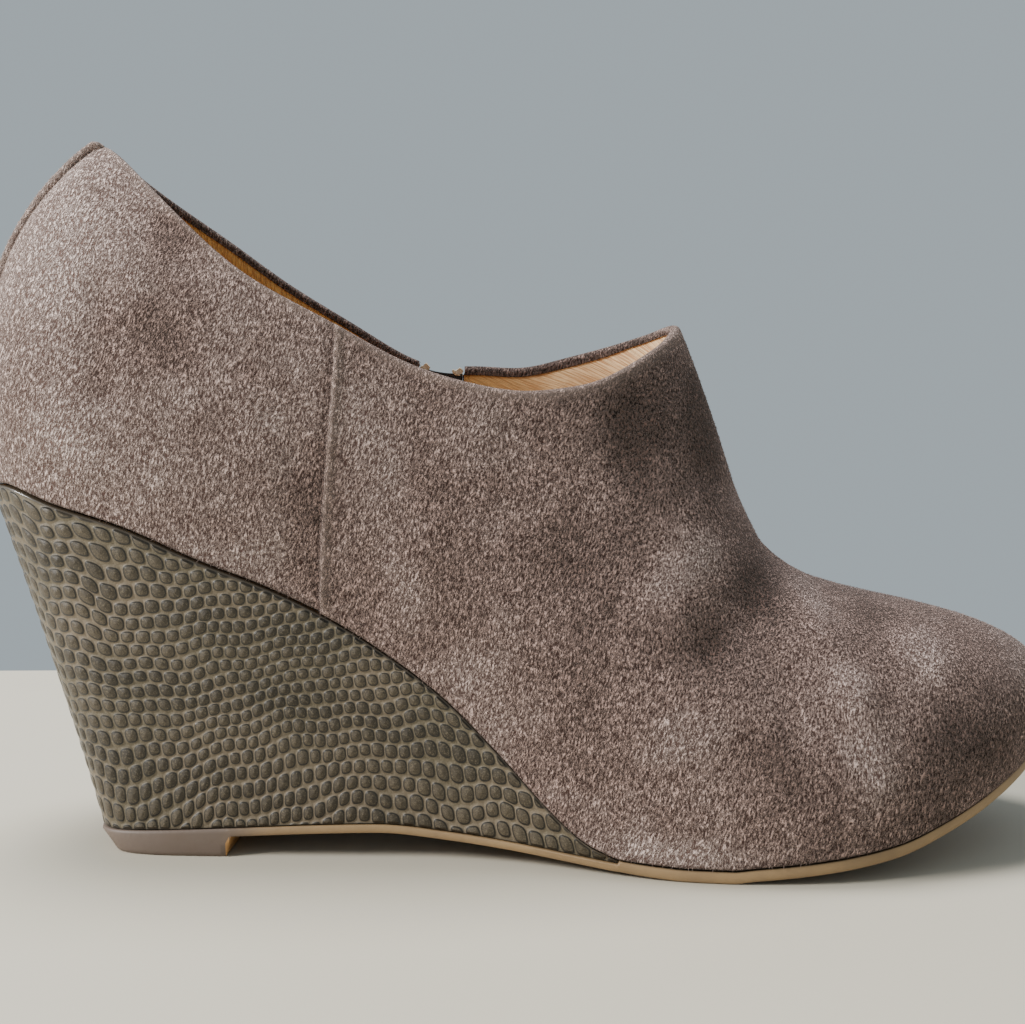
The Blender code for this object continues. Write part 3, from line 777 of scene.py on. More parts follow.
def sole_finish():
    """Moulded rubber: taupe at the heel, tan along the thin forepart edge."""
    finish = Finish("moulded sole rubber", Specular_IOR_Level=0.4)
    forward = finish.step(finish.axis("X"), 0.010, 0.026)
    clouds = finish.noise(90, 4.0, 0.6)
    fine = finish.noise(900, 3.0, 0.6)
    colour = finish.blend(forward, srgb(106, 92, 82), srgb(152, 125, 90))
    colour = finish.blend(finish.step(clouds, 0.4, 0.75) * 0.35, colour, srgb(98, 80, 64))
    colour = finish.blend(finish.attribute("under") * 0.8, colour, srgb(120, 98, 82))
    # Dark line at the sole's top edge: partly cement, partly painted shade under the suede's edge
    colour = finish.blend(finish.attribute("cement_and_shade"), colour, srgb(30, 24, 20))
    return finish.paint(Base_Color=colour, Roughness=0.55, Normal=finish.bump(fine, 0.0001, 0.6))


def breast_finish():
    """The heel's front face: raw tan rubber."""
    finish = Finish("heel breast rubber", Specular_IOR_Level=0.4)
    clouds = finish.noise(200, 3.0, 0.6)
    colour = finish.blend(clouds, srgb(196, 148, 88), srgb(160, 116, 70))
    return finish.paint(Base_Color=colour, Roughness=0.5)


def tape_finish():
    """Woven black cloth."""
    finish = Finish("black zip tape")
    weave = finish.cells(1, finish.turned(0.0, (1800, 900, 2400)))
    colour = finish.blend(finish.step(weave, 0.2, 0.7), srgb(34, 34, 36), srgb(14, 14, 15))
    return finish.paint(Base_Color=colour, Roughness=0.75, Normal=finish.bump(weave, 0.0002, 0.8))


def teeth_finish():
    """Smooth black plastic with faint smudges."""
    finish = Finish("moulded zip teeth", Specular_IOR_Level=0.5)
    colour = finish.blend(finish.noise(500, 2.0), srgb(20, 20, 22), srgb(36, 35, 36))
    return finish.paint(Base_Color=colour, Roughness=0.38)


def cream_finish():
    """Cut ends of the cream tape that binds the zip."""
    finish = Finish("cream tape end")
    weave = finish.noise(1600, 2.0, 0.6)
    colour = finish.blend(weave, srgb(214, 200, 176), srgb(176, 158, 132))
    return finish.paint(Base_Color=colour, Roughness=0.85, Normal=finish.bump(weave, 0.0001, 0.6))


def metal_finish():
    """Worn dark nickel."""
    finish = Finish("dark nickel", Metallic=1.0)
    wear = finish.noise(420, 4.0, 0.65)
    colour = finish.blend(finish.step(wear, 0.4, 0.7), srgb(92, 88, 84), srgb(132, 126, 118))
    scratches = finish.noise(900, 2.0, 0.6, vector=finish.turned(0.0, (0.2, 1, 1)))
    return finish.paint(Base_Color=colour, Roughness=0.26 + wear * 0.2,
                        Normal=finish.bump(scratches, 0.00004, 0.5))


def insole_finish():
    """Smooth tan leather with fine pores."""
    finish = Finish("tan insole leather", Specular_IOR_Level=0.4)
    clouds = finish.noise(70, 3.0, 0.55)
    colour = finish.blend(finish.step(clouds, 0.25, 0.8), srgb(190, 147, 94), srgb(172, 127, 78))
    pores = finish.bump(finish.cells(1400), 0.00008, 0.5)
    return finish.paint(Base_Color=colour, Roughness=0.5, Normal=pores)


def add_piece(name, points, faces, material, attributes, slot, extra_materials=(),
              face_slots=None, angle=60.0):
    """One finished piece of the boot from points and faces, with named values on its points."""
    mesh = bpy.data.meshes.new(name)
    mesh.from_pydata(np.asarray(points).reshape(-1, 3).tolist(), [], faces)
    for key, values in attributes.items():
        layer = mesh.attributes.new(key, "FLOAT", "POINT")
        layer.data.foreach_set("value", np.asarray(values, dtype=np.float32).ravel())
    for each in (material, *extra_materials):
        mesh.materials.append(each)
    if face_slots is not None:
        mesh.polygons.foreach_set("material_index", face_slots)
    bm = bmesh.new()
    bm.from_mesh(mesh)
    bmesh.ops.remove_doubles(bm, verts=bm.verts, dist=2e-6)
    bmesh.ops.recalc_face_normals(bm, faces=bm.faces)
    bm.to_mesh(mesh)
    bm.free()
    mesh.shade_smooth()
    mesh.set_sharp_from_angle(angle=math.radians(angle))
    piece = bpy.data.objects.new(name, mesh)
    bpy.context.scene.collection.objects.link(piece)
    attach(piece, BOOT)
    return piece


def grid_faces(rows, columns, closed, kept=None):
    """Faces between the points of a grid, which may close on itself sideways."""
    faces = []
    for r in range(rows - 1):
        for c in range(columns if closed else columns - 1):
            if kept is not None and not kept[r, c]:
                continue
            low, high, d = r * columns, (r + 1) * columns, (c + 1) % columns
            faces.append((low + c, low + d, high + d, high + c))
    return faces


def block_faces(rows, half):
    """Faces of a solid whose closed rows have this many points on each side of the foot. Its flat
    ends are strips across the foot, so they bend only along its length."""
    count = 2 * half
    last = (rows - 1) * count
    faces = grid_faces(rows, count, True)
    for i in range(half - 1):
        mirror = count - 1 - i
        faces.append((i, i + 1, mirror - 1, mirror))
        faces.append((last + i, last + mirror, last + mirror - 1, last + i + 1))
    return faces


def wall_shell(name, outer, inner, material, attributes, closed=False, kept=None, **more):
    """A wall between two grids of points that share their rows and columns."""
    rows, columns = outer.shape[:2]
    half = rows * columns
    faces = grid_faces(rows, columns, closed, kept)
    edges = dict.fromkeys((a, b) for face in faces for a, b in zip(face, face[1:] + face[:1]))
    rims = [(b, a, half + a, half + b) for a, b in edges if (b, a) not in edges]
    faces += [tuple(half + i for i in reversed(face)) for face in faces]
    faces += rims
    points = np.concatenate((outer.reshape(-1, 3), inner.reshape(-1, 3)))
    doubled = {key: np.concatenate([side.ravel() for side in sides])
               for key, sides in attributes.items()}
    return add_piece(name, points, faces, material, doubled, **more)


def smooth_step(value, start, end):
    """0 before start, 1 after end, smooth between."""
    t = np.clip((value - start) / (end - start), 0.0, 1.0)
    return t * t * (3 - 2 * t)


def hump(distance, reach):
    """1 at no distance, falling smoothly to nothing by about twice the reach."""
    return np.exp(-(distance / reach) ** 2)


# Soft folds of the worn upper on the outer side, in metres of the side view
FOLDS = (
    # start x, start z, end x, end z, half width, height
    (0.1300, 0.0600, 0.1130, 0.0450, 0.0055, -0.0010),
    (0.1330, 0.0540, 0.1420, 0.0350, 0.0045, 0.0007),
    (0.1420, 0.0350, 0.1465, 0.0200, 0.0045, 0.0006),
    (0.1110, 0.0640, 0.1060, 0.0540, 0.0070, 0.0008),
    (0.1215, 0.0480, 0.1300, 0.0280, 0.0040, -0.0006),
    (0.1500, 0.0460, 0.1640, 0.0300, 0.0050, -0.0005),
    (0.1560, 0.0430, 0.1600, 0.0400, 0.0050, 0.0005),
    (-0.0130, 0.1180, -0.0100, 0.0980, 0.0035, -0.0006),
    (-0.0065, 0.1270, -0.0030, 0.1150, 0.0030, 0.0004),
    (0.0010, 0.1330, 0.0060, 0.1250, 0.0040, -0.0006),
    (0.0000, 0.1120, 0.0060, 0.1060, 0.0060, -0.0004),
    (-0.0190, 0.0920, -0.0150, 0.0850, 0.0055, 0.0005),
    (0.0310, 0.0820, 0.0310, 0.0620, 0.0050, -0.0004),
    (0.0200, 0.0960, 0.0240, 0.0700, 0.0045, 0.0003),
    (0.0980, 0.0970, 0.0970, 0.0840, 0.0060, -0.0008),
    (0.0860, 0.0670, 0.0840, 0.0590, 0.0070, -0.0005),
    (0.0540, 0.0640, 0.0520, 0.0500, 0.0050, 0.0004),
    (0.0670, 0.0930, 0.0660, 0.0840, 0.0060, 0.0004),
    (0.1120, 0.0800, 0.1220, 0.0750, 0.0030, -0.0004),
    (0.1000, 0.0300, 0.1090, 0.0270, 0.0060, 0.0004),
    (0.1200, 0.0250, 0.1290, 0.0200, 0.0055, -0.0005),
)

# Painted light from the left: how much lighter the suede is painted at the heel than at the toe;
# and how light the nap lies everywhere
HEEL_PAINTED_LIGHT = 0.30
NAP_LIGHTNESS = -0.06

# Patches painted lighter (+) or darker (-) on the outer side, in metres of the side view: partly
# where the nap lies another way, partly painted light and shade of folds and dents
NAP_AND_LIGHT_PATCHES = (
    # x, z, half length, half height, lightness
    (-0.0225, 0.1310, 0.0090, 0.0230, 0.44),
    (-0.0050, 0.1250, 0.0035, 0.0080, 0.22),
    (-0.0170, 0.0880, 0.0080, 0.0070, 0.32),
    (0.0120, 0.0640, 0.0150, 0.0040, 0.18),
    (0.0670, 0.0890, 0.0070, 0.0080, 0.20),
    (0.0470, 0.0790, 0.0060, 0.0090, 0.22),
    (0.0530, 0.0550, 0.0050, 0.0100, 0.28),
    (0.0630, 0.0400, 0.0080, 0.0050, 0.15),
    (0.1105, 0.0625, 0.0080, 0.0075, 0.34),
    (0.1015, 0.0565, 0.0060, 0.0040, 0.20),
    (0.1350, 0.0530, 0.0055, 0.0060, 0.30),
    (0.1585, 0.0420, 0.0080, 0.0050, 0.46),
    (0.1420, 0.0350, 0.0050, 0.0100, 0.24),
    (0.1450, 0.0220, 0.0060, 0.0060, 0.24),
    (0.1050, 0.0285, 0.0090, 0.0060, 0.16),
    (0.1030, 0.0060, 0.0150, 0.0030, 0.42),
    (0.1825, 0.0385, 0.0060, 0.0060, 0.34),
    (0.0010, 0.1325, 0.0070, 0.0050, -0.30),
    (0.0010, 0.1095, 0.0100, 0.0070, -0.24),
    (-0.0110, 0.1075, 0.0040, 0.0110, -0.20),
    (0.0140, 0.0920, 0.0080, 0.0080, -0.12),
    (0.0320, 0.0730, 0.0045, 0.0130, -0.22),
    (0.0985, 0.0895, 0.0070, 0.0090, -0.44),
    (0.1145, 0.0915, 0.0055, 0.0150, -0.34),
    (0.0855, 0.0630, 0.0090, 0.0090, -0.24),
    (0.1240, 0.0575, 0.0055, 0.0075, -0.38),
    (0.1140, 0.0450, 0.0080, 0.0070, -0.30),
    (0.1245, 0.0225, 0.0080, 0.0070, -0.24),
    (0.1690, 0.0240, 0.0110, 0.0080, -0.26),
    (0.1480, 0.0485, 0.0050, 0.0040, -0.20),
)
HEEL_TO_TOE = (-0.020, 0.095)

# How far back and down the inner side reads the two tables, and where it begins across the foot
INNER_BACK = 0.013
INNER_DOWN = 0.005
INNER_FROM = (-0.004, 0.004)

# Where the folds die away: section numbers before and after the zip and from the heel's back, and
# shares of the wall from the lower edge and from the collar
CALM_TO_ZIP = (21.5, 23.0)
CALM_FROM_ZIP = (26.5, 28.0)
CALM_FROM_BACK = (0.6, 1.6)
CALM_FROM_FOOT = (0.0, 0.06)
CALM_FROM_COLLAR = (0.0, 0.05)


def side_view(points):
    """Place in the side view that the tables use."""
    inner = smooth_step(points[..., 1], *INNER_FROM)
    return points[..., 0] + INNER_BACK * inner, points[..., 2] - INNER_DOWN * inner


def fold_height(points, section, rise):
    """How far the folds push the wall out, nothing at its edges, the zip and the back stay."""
    x, z = side_view(points)
    height = np.zeros(x.shape)
    for start_x, start_z, end_x, end_z, reach, bulge in FOLDS:
        along_x, along_z = end_x - start_x, end_z - start_z
        share = ((x - start_x) * along_x + (z - start_z) * along_z) / (along_x ** 2 + along_z ** 2)
        share = np.clip(share, 0.0, 1.0)
        distance = np.hypot(x - start_x - share * along_x, z - start_z - share * along_z)
        height = height + bulge * hump(distance, reach)
    turn = section % SECTIONS
    off_zip = 1 - smooth_step(turn, *CALM_TO_ZIP) * (1 - smooth_step(turn, *CALM_FROM_ZIP))
    off_stay = smooth_step(np.minimum(turn, SECTIONS - turn), *CALM_FROM_BACK)
    off_edges = smooth_step(rise, *CALM_FROM_FOOT) * smooth_step(1 - rise, *CALM_FROM_COLLAR)
    return height * off_zip * off_stay * off_edges


def nap_and_light_value(points):
    """How light the suede is painted: lighter toward the heel as painted light, with patches that
    are partly the nap's lie and partly painted light and shade.
    """
    x, z = side_view(points)
    value = HEEL_PAINTED_LIGHT * (1 - smooth_step(x, *HEEL_TO_TOE)) + NAP_LIGHTNESS
    for px, pz, rx, rz, light in NAP_AND_LIGHT_PATCHES:
        value = value + light * np.exp(-((x - px) / rx) ** 2 - ((z - pz) / rz) ** 2)
    return value


def fold_depth(section):
    """How far the collar is folded in: less at the throat."""
    away = np.abs(section % SECTIONS - TOE_SECTION)
    return THROAT_FOLD + (FOLD_DEPTH - THROAT_FOLD) * smooth_step(away, *THROAT_SECTIONS)


def throat_lift(section, rise):
    """How far the collar's point stands up at the throat."""
    away = section % SECTIONS - TOE_SECTION - LIFT_MIDDLE
    return THROAT_LIFT * hump(away, LIFT_SECTIONS) * smooth_step(rise, *LIFT_SHARE)


# Where a panel's rows and columns lie near its edges: metres from the cut edge and the lower edge,
# shares of the fold, and steps round the rim; and the distance that stands for no cut edge at all
EDGE_STEPS = np.array([0.0, 0.00012, 0.00028, 0.0005, 0.0008, 0.0012, 0.0018])
FOOT_STEPS = np.array([0.0, 0.00015, 0.0004, 0.0008, 0.0014])
FOLD_STEPS = np.array([1.3, 1.0, 0.65, 0.3, 0.0])
RIM_STEPS = 6
NO_EDGE = 1.0


def roll(distance, reach):
    """A quarter circle down toward an edge, 0 to 1."""
    share = np.clip(1 - distance / reach, 0.0, 1.0)
    return 1 - np.sqrt(np.clip(1 - share ** 2, 0.0, 1.0))


def build_panel(name, left, right, columns, rows, height, material, left_edge=True,
                right_edge=True, seams=()):
    """One suede panel with its cut edges rolled down and its collar edge folded to the inside.
    Seams are sections where another panel's edge lies on this one."""
    v = np.linspace(0.0, 1.0, rows)
    waver = sum(size * np.sin(v * waves + start) for size, waves, start in CUT_WAVES)
    start = left(v) + waver / wall_pace(left(v), v)
    end = right(v) + waver / wall_pace(right(v), v)
    first = start[:, None] + EDGE_STEPS / wall_pace(start, v)[:, None]
    last = end[:, None] - EDGE_STEPS[::-1] / wall_pace(end, v)[:, None]
    shares = np.linspace(0.0, 1.0, columns)[1:-1]
    between = first[:, -1:] + (last[:, :1] - first[:, -1:]) * shares
    sections = np.concatenate((first, between, last), axis=1)
    lengths = wall_length(sections)
    half = (height + WALL) / 2
    top = lengths - half
    head, tail = len(FOOT_STEPS), len(FOLD_STEPS)
    low = FOOT_STEPS[:, None] + 0 * top[:1]
    fold = np.maximum(fold_depth(sections[-tail:]) - half, LEAST_FOLD)
    high = top[-tail:] - fold * FOLD_STEPS[:, None]
    body_share = np.linspace(0.0, 1.0, rows - head - tail + 2)[1:-1, None]
    body = top[head:-tail] - fold[:1] * FOLD_STEPS[0] - FOOT_STEPS[-1]
    from_foot = np.concatenate((low, FOOT_STEPS[-1] + body * body_share, high))
    rise = from_foot / lengths
    paces = wall_pace(sections, rise)
    edge = np.full_like(rise, NO_EDGE)
    if left_edge:
        edge = np.minimum(edge, (sections - sections[:, :1]) * paces)
    if right_edge:
        edge = np.minimum(edge, (sections[:, -1:] - sections) * paces)

    outer_h = height - EDGE_ROLL * roll(edge, EDGE_ROLL)
    outer_h = outer_h - FOOT_ROLL_SHARE * EDGE_ROLL * roll(from_foot, EDGE_ROLL)
    bead = SEAM_BEAD * hump(edge - BEAD_FROM_EDGE, BEAD_REACH)
    outer_h = outer_h + bead * smooth_step(from_foot, 0.0, BEAD_FADE)
    strength, reach = FOOT_SHADE
    shade = strength * hump(from_foot, reach)
    for seam in seams:
        away = (sections - seam(v)[:, None]) * paces
        outer_h = outer_h - SEAM_GROOVE * hump(away, GROOVE_REACH)
        strength, reach = SEAM_SHADE
        shade = shade + strength * hump(away, reach)
    folded = np.arange(rows)[:, None] + 0 * rise >= rows - tail + 1
    inner_h = np.where(folded, -WALL, LINING - WALL)
    turns = np.linspace(0.0, math.pi / 2, RIM_STEPS + 1)[1:, None]
    middle = (height - WALL) / 2
    sink = outer_h[-1:] - height

    def add_rim(values, more):
        """The rows round the collar's rim after the others."""
        return np.concatenate((values, more + 0 * sink))

    sections = add_rim(sections, sections[-1:] + 0 * turns)
    rise = add_rim(rise, rise[-1:] + 0 * turns)
    outer_h = add_rim(outer_h, middle + (half + sink) * np.cos(turns))
    inner_h = add_rim(inner_h, middle - half * np.cos(turns))
    up = add_rim(0 * from_foot, half * np.sin(turns))
    edge = add_rim(edge, edge[-1:] + 0 * turns)
    shade = add_rim(shade, shade[-1:] + 0 * turns)
    plain = wall_point(sections, rise)
    normal = wall_normal(sections, rise)
    climb = wall_climb(sections, rise)
    folds = fold_height(plain, sections, rise)
    lifted = plain + climb * (up + throat_lift(sections, rise))[..., None]
    outer = lifted + normal * (outer_h + folds)[..., None]
    inner = lifted + normal * (inner_h + folds)[..., None]
    inner[0, :, 2] = outer[0, :, 2]
    # Lighter edges: wear and painted highlight along cut edges and the collar's rim
    strength, reach = EDGE_WEAR_AND_HIGHLIGHT
    wear_and_highlight = strength * hump(edge - EDGE_ROLL, reach) * (edge < NO_EDGE / 2)
    strength, reach = COLLAR_WEAR_AND_HIGHLIGHT
    wear_and_highlight = wear_and_highlight + strength * hump(wall_length(sections) * (1 - rise) - half, reach)
    inside_shade = add_rim(np.where(folded, FOLD_SHADE, 0.0), RIM_SHADE + 0 * turns)
    # Painted light toward the heel and painted light and shade in patches, together with the nap's
    # lie
    nap_and_light = nap_and_light_value(plain)
    more, reach = EDGE_NAP
    thickness = np.where(shade < NAP_SHADE, 1 + more * hump(edge, reach), 0.0)
    NAP_BEDS.append((outer, normal, climb, nap_and_light, thickness))
    return wall_shell(name, outer, inner, material, {
        "nap_and_light": (nap_and_light, nap_and_light), "shade": (shade, inside_shade), "wear_and_highlight": (wear_and_highlight, 0 * wear_and_highlight)}, slot="suede")


# Loose fibres on the panels above, more along cut edges and none in deep shade: how many on an area
# of suede, their size, their turn from downward, how far they stand off and how their lengths vary
NAP_BEDS = []
EDGE_NAP = (7, 0.0010)
NAP_SHADE = 0.3
FIBRE_COUNT = 39000
SUEDE_AREA = 0.040
FIBRE_LENGTH = 0.0007
FIBRE_HALF_WIDTH = 0.00006
FIBRE_ROOT = 0.0001
FIBRE_TURN = (-0.35, 0.45)
FIBRE_STAND = (0.12, 0.50)
FIBRE_SPREAD = (0.55, 1.35)
SPIKE_FACES = ((0, 2, 1), (0, 1, 3), (1, 2, 3), (2, 0, 3))


def build_nap(material):
    """Loose nap over the suede: short fibres, each a thin closed spike, denser along cut edges."""
    random = np.random.default_rng(11)
    roots, outs, ups, naps_and_light = [], [], [], []
    for outer, normal, climb, nap_and_light, thickness in NAP_BEDS:
        across = np.linalg.norm(outer[1:, 1:] - outer[1:, :-1], axis=-1)
        up = np.linalg.norm(outer[1:, 1:] - outer[:-1, 1:], axis=-1)
        area = across * up * thickness[1:, 1:]
        share = int(FIBRE_COUNT * area.sum() / SUEDE_AREA)
        chosen = random.choice(area.size, size=share, p=area.ravel() / area.sum())
        row, column = np.unravel_index(chosen, area.shape)
        s, t = random.uniform(0, 1, (2, share, 1))
        low = outer[row, column] * (1 - s) + outer[row, column + 1] * s
        high = outer[row + 1, column] * (1 - s) + outer[row + 1, column + 1] * s
        roots.append(low * (1 - t) + high * t)
        outs.append(normal[row, column])
        ups.append(climb[row, column])
        naps_and_light.append(nap_and_light[row, column])
    root, out, up = (np.concatenate(parts) for parts in (roots, outs, ups))
    nap_and_light = np.concatenate(naps_and_light)
    count = len(root)
    side = np.cross(up, out)
    turn = random.normal(*FIBRE_TURN, count)[:, None]
    along = -up * np.cos(turn) + side * np.sin(turn)
    stand = random.uniform(*FIBRE_STAND, (count, 1))
    length = FIBRE_LENGTH * random.uniform(*FIBRE_SPREAD, (count, 1))
    tip = root + (along + out * stand) * length
    root = root - out * FIBRE_ROOT
    wide = np.cross(along, out) * FIBRE_HALF_WIDTH
    thick = out * FIBRE_HALF_WIDTH
    points = np.stack((root - wide - thick, root + wide - thick, root + thick, tip), axis=1)
    faces = [tuple(4 * i + corner for corner in face) for i in range(count) for face in SPIKE_FACES]
    add_piece("suede_nap", points, faces, material, {
        "nap_and_light": np.repeat(nap_and_light[:, None], 4, axis=1),
        "height": np.tile((0, 0, 0, 1.0), (count, 1)),
        "tone": np.repeat(random.uniform(0, 1, (count, 1)), 4, axis=1)}, slot="suede", angle=80.0)


def zip_front(v):
    """The slot's edge toward the toe."""
    return zip_section(v, -SLOT_WIDTH / 2)


def stay_front(v, tuck=0.0):
    """The back stay's edge on the outer side, or a line tucked under it."""
    return (STAY_HALF_WIDTH - tuck) / wall_pace(0 * v, v)


def side_seam(v):
    """The vamp's rear edge on the outer side."""
    return SEAM_SECTION + 0 * v


def build_upper(material):
    """Quarters, vamp and back stay over one another, as they are cut and lapped."""
    fine = 2
    build_panel("back_stay", lambda v: -stay_front(v), stay_front, 14 * fine, 50 * fine, OVERLAY,
                material)
    build_panel("outer_quarter", lambda v: stay_front(v, SEAM_TUCK),
                lambda v: beside(side_seam(v), v, SEAM_TUCK), 56 * fine, 50 * fine, 0.0, material,
                False, False, (stay_front, side_seam))

    def quarter_front(v):
        """Tucked under the vamp below the slot, cut back beside the zip above."""
        under = zip_section(v, -SLOT_WIDTH / 2 - SEAM_TUCK)
        beside_zip = zip_section(v, SLOT_WIDTH / 2)
        above = smooth_step(v, SLOT_FLOOR - TAPE_BELOW_SLOT, SLOT_FLOOR)
        return under + (beside_zip - under) * above

    build_panel("inner_quarter", quarter_front, lambda v: SECTIONS - stay_front(v, SEAM_TUCK),
                56 * fine, 50 * fine, 0.0, material, True, False,
                (zip_front, lambda v: SECTIONS - stay_front(v)))
    vamp = build_panel("vamp", side_seam, zip_front, 150 * fine, 54 * fine, OVERLAY, material)
    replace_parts(vamp, "upper")


def build_lining(material):
    """Lining around the inside, open at the zip."""
    columns, rows = 260, 60
    v = np.linspace(0.0, 1.0, rows)
    front, rear = zip_front(v), zip_section(v, SLOT_WIDTH / 2)
    slot = front[:, None] + (rear - front)[:, None] * np.linspace(0.0, 1.0, 5)[:-1]
    rest = np.linspace(0.0, 1.0, columns - 3)[:-1]
    around = rear[:, None] + (front + SECTIONS - rear)[:, None] * rest
    sections = np.concatenate((slot, around), axis=1)
    lengths = wall_length(sections)
    rise = v[:, None] * (1.0 - fold_depth(sections) * LINING_REACH / lengths)
    plain = wall_point(sections, rise)
    normal = wall_normal(sections, rise)
    folds = fold_height(plain, sections, rise)
    backing = LINING - WALL - LINING_GAP
    face = -WALL + LINING_BAND * smooth_step(v[:, None], *BAND_SHARE)
    face = np.minimum(face, backing - LINING_LEAST)
    lifted = plain + wall_climb(sections, rise) * throat_lift(sections, rise)[..., None]
    outer = lifted + normal * (backing + folds)[..., None]
    inner = lifted + normal * (face + folds)[..., None]
    kept = np.ones((rows - 1, columns), dtype=bool)
    kept[int(SLOT_FLOOR * rows):, :4] = False
    girth = np.cumsum(np.linalg.norm(np.diff(plain, axis=1, prepend=plain[:, :1]), axis=-1), axis=1)
    wall_shell("lining", outer, inner, material, {"girth": (girth, girth), "rise": (rise, rise)},
               closed=True, kept=kept, slot="insole_cover")


def there_and_back(sections):
    """Sections along the outer side, then their mirrors along the inner side."""
    return np.concatenate((sections, SECTIONS - sections[::-1]))


def section_at(loop, x):
    """Section number on the outer side where a loop reaches x."""
    low, high = 0.0, float(TOE_SECTION)
    for _ in range(40):
        middle = (low + high) / 2
        if loop.at(middle)[0] < x:
            low = middle
        else:
            high = middle
    return (low + high) / 2


def scale_count(rows, distance):
    """Running number of scales at a distance, from a table of their pitch."""
    steps = np.linspace(-0.03, 0.18, 600)
    pitch = follow(rows, 1, steps)
    count = np.concatenate(([0.0], np.cumsum(np.diff(steps) * 2 / (pitch[1:] + pitch[:-1]))))
    return np.interp(distance, steps, count - np.interp(0.0, steps, count))


def scale_place(along, height):
    """Column and row numbers of the pressed scales; along is metres from the heel's back. Waves
    keep the rows from lying too straight."""
    calm = scale_count(SCALE_UP, CALM_ROW_HEIGHT)
    row = scale_count(SCALE_UP, height - follow(SCALE_FLOW, 1, along))
    row = calm + (row - calm) * follow(SCALE_FLOW, 3, along)
    swell = 0.22 * np.sin(along * 190 + 1.0) * np.sin(height * 150)
    ripple = 0.10 * np.sin(along * 430)
    lean = follow(SCALE_FLOW, 2, along) * (height - CALM_ROW_HEIGHT)
    column = scale_count(SCALE_ALONG, along + lean) + 0.2 * np.sin(height * 170 + 0.7)
    return column, row + swell + ripple + FIRST_ROW


def scale_relief(column, row):
    """How far the mesh bulges inside each pressed scale, 0 to 1."""
    near, far, _ = scale_field(
        lambda operation, *values: ARRAY_MATH[operation](*values), column, row)
    return smooth_step(np.minimum((far - near) * SCALE_GAP, SCALE_REACH - near), 0.0, 0.30)


def build_wedge(material):
    """The covered wedge: its leather is wrapped round one block and pressed with scales. It closes
    in a seam down the heel's back."""
    tip = section_at(FOOT_LOOP, x_at(WEDGE_TIP) - GAP)
    columns, rows = ((260, 130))
    order = there_and_back(tip * np.linspace(0.0, 1.0, columns))

    def ring(v):
        """Outline a share of the way down."""
        sunk = WEDGE_HOLLOW * 4 * v * (1 - v)
        top = outset(FOOT_LOOP, order, WEDGE_LEDGE - sunk + 0 * order)
        base = outset(BASE_LOOP, order, -sunk + 0 * order)
        start = lift(top, feather_z(top[..., 0]) - GAP)
        end = lift(base, sole_top_z(base[..., 0]) + GAP)
        return start + (end - start) * v

    top_roll = np.linspace(0.0, WEDGE_ROLL_SHARE, 12)[:-1]
    down = np.concatenate((top_roll, np.linspace(WEDGE_ROLL_SHARE, 1.0, rows)))
    grids = np.array([ring(v) for v in down])
    step = np.linalg.norm(np.diff(grids[..., :2], axis=1), axis=-1)
    start = np.zeros((len(down), 1))
    outer_way = np.cumsum(np.concatenate((start, step[:, :columns - 1]), axis=1), axis=1)
    inner_way = np.cumsum(np.concatenate((start, step[:, columns:][:, ::-1]), axis=1), axis=1)
    way = np.concatenate((outer_way, inner_way[:, ::-1]), axis=1)
    middle = slice(columns // 3, columns // 3 + 1)
    reference = outer_way[:, middle] - (grids[:, middle, 0] + HEEL_OVERHANG)
    column, row = scale_place(way - reference, grids[..., 2])
    off_seam = smooth_step(way, *PRESSED_FROM_SEAM)
    from_top = np.linalg.norm(grids - grids[:1], axis=-1)
    from_base = np.linalg.norm(grids - grids[-1:], axis=-1)
    off_top = smooth_step(from_top, *PRESSED_FROM_TOP)
    pressed = off_top * smooth_step(from_base, *PRESSED_FROM_BASE) * off_seam
    outward = np.concatenate((plan_normal(FOOT_LOOP, order), np.zeros((len(order), 1))), axis=1)
    room = smooth_step(from_top[-1], *WEDGE_ROLL_ROOM)
    rounding = WEDGE_LEDGE * WEDGE_ROLL_DEPTH * roll(from_top, WEDGE_ROLL) * room
    rounding = rounding + WEDGE_SEAM * (1 - off_seam) * room
    raised = SCALE_HEIGHT * scale_relief(column, row) * pressed
    points = grids + outward * (raised - rounding)[..., None]
    piece = add_piece("wedge_cover", points, block_faces(len(down), columns), material,
                      {"column": column, "row": row, "pressed": pressed},
                      slot="embossed_cover", angle=70.0)
    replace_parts(piece, "wedge")


# Sole's rings: inset, share of the way down, darkness of the cement line and painted shade under
# the suede's edge on the forepart
SOLE_RINGS = (
    (0.00035, 0.0, 0.9),
    (0.0001, 0.04, 0.35),
    (0.0, 0.14, 0.0),
    (0.0, 0.5, 0.0),
    (0.0, 0.8, 0.0),
    (0.00018, 0.93, 0.0),
    (EDGE_ROUND, 1.0, 0.0),
    (EDGE_ROUND * 3, 1.0, 0.0),
)

# Steps between its stops, where the cement line with its painted shade starts, from which share of
# its height the heel's back is bevelled, and what counts as the breast: its height and a margin
SOLE_STEPS = (60, 3, 70, 2, 110)
CEMENT_SHADE_FROM = (0.09, 0.10)
BEVEL_FROM = 0.25
BREAST_HEIGHT = 0.004
BREAST_MARGIN = 0.0001

# Insole's rings: inset, height over the upper's lower edge
INSOLE_RINGS = (
    (0.004, INSOLE),
    (0.0012, INSOLE - 0.0001),
    (0.0003, INSOLE - 0.0005),
    (0.0, INSOLE - 0.0012),
    (0.0, 0.0),
)


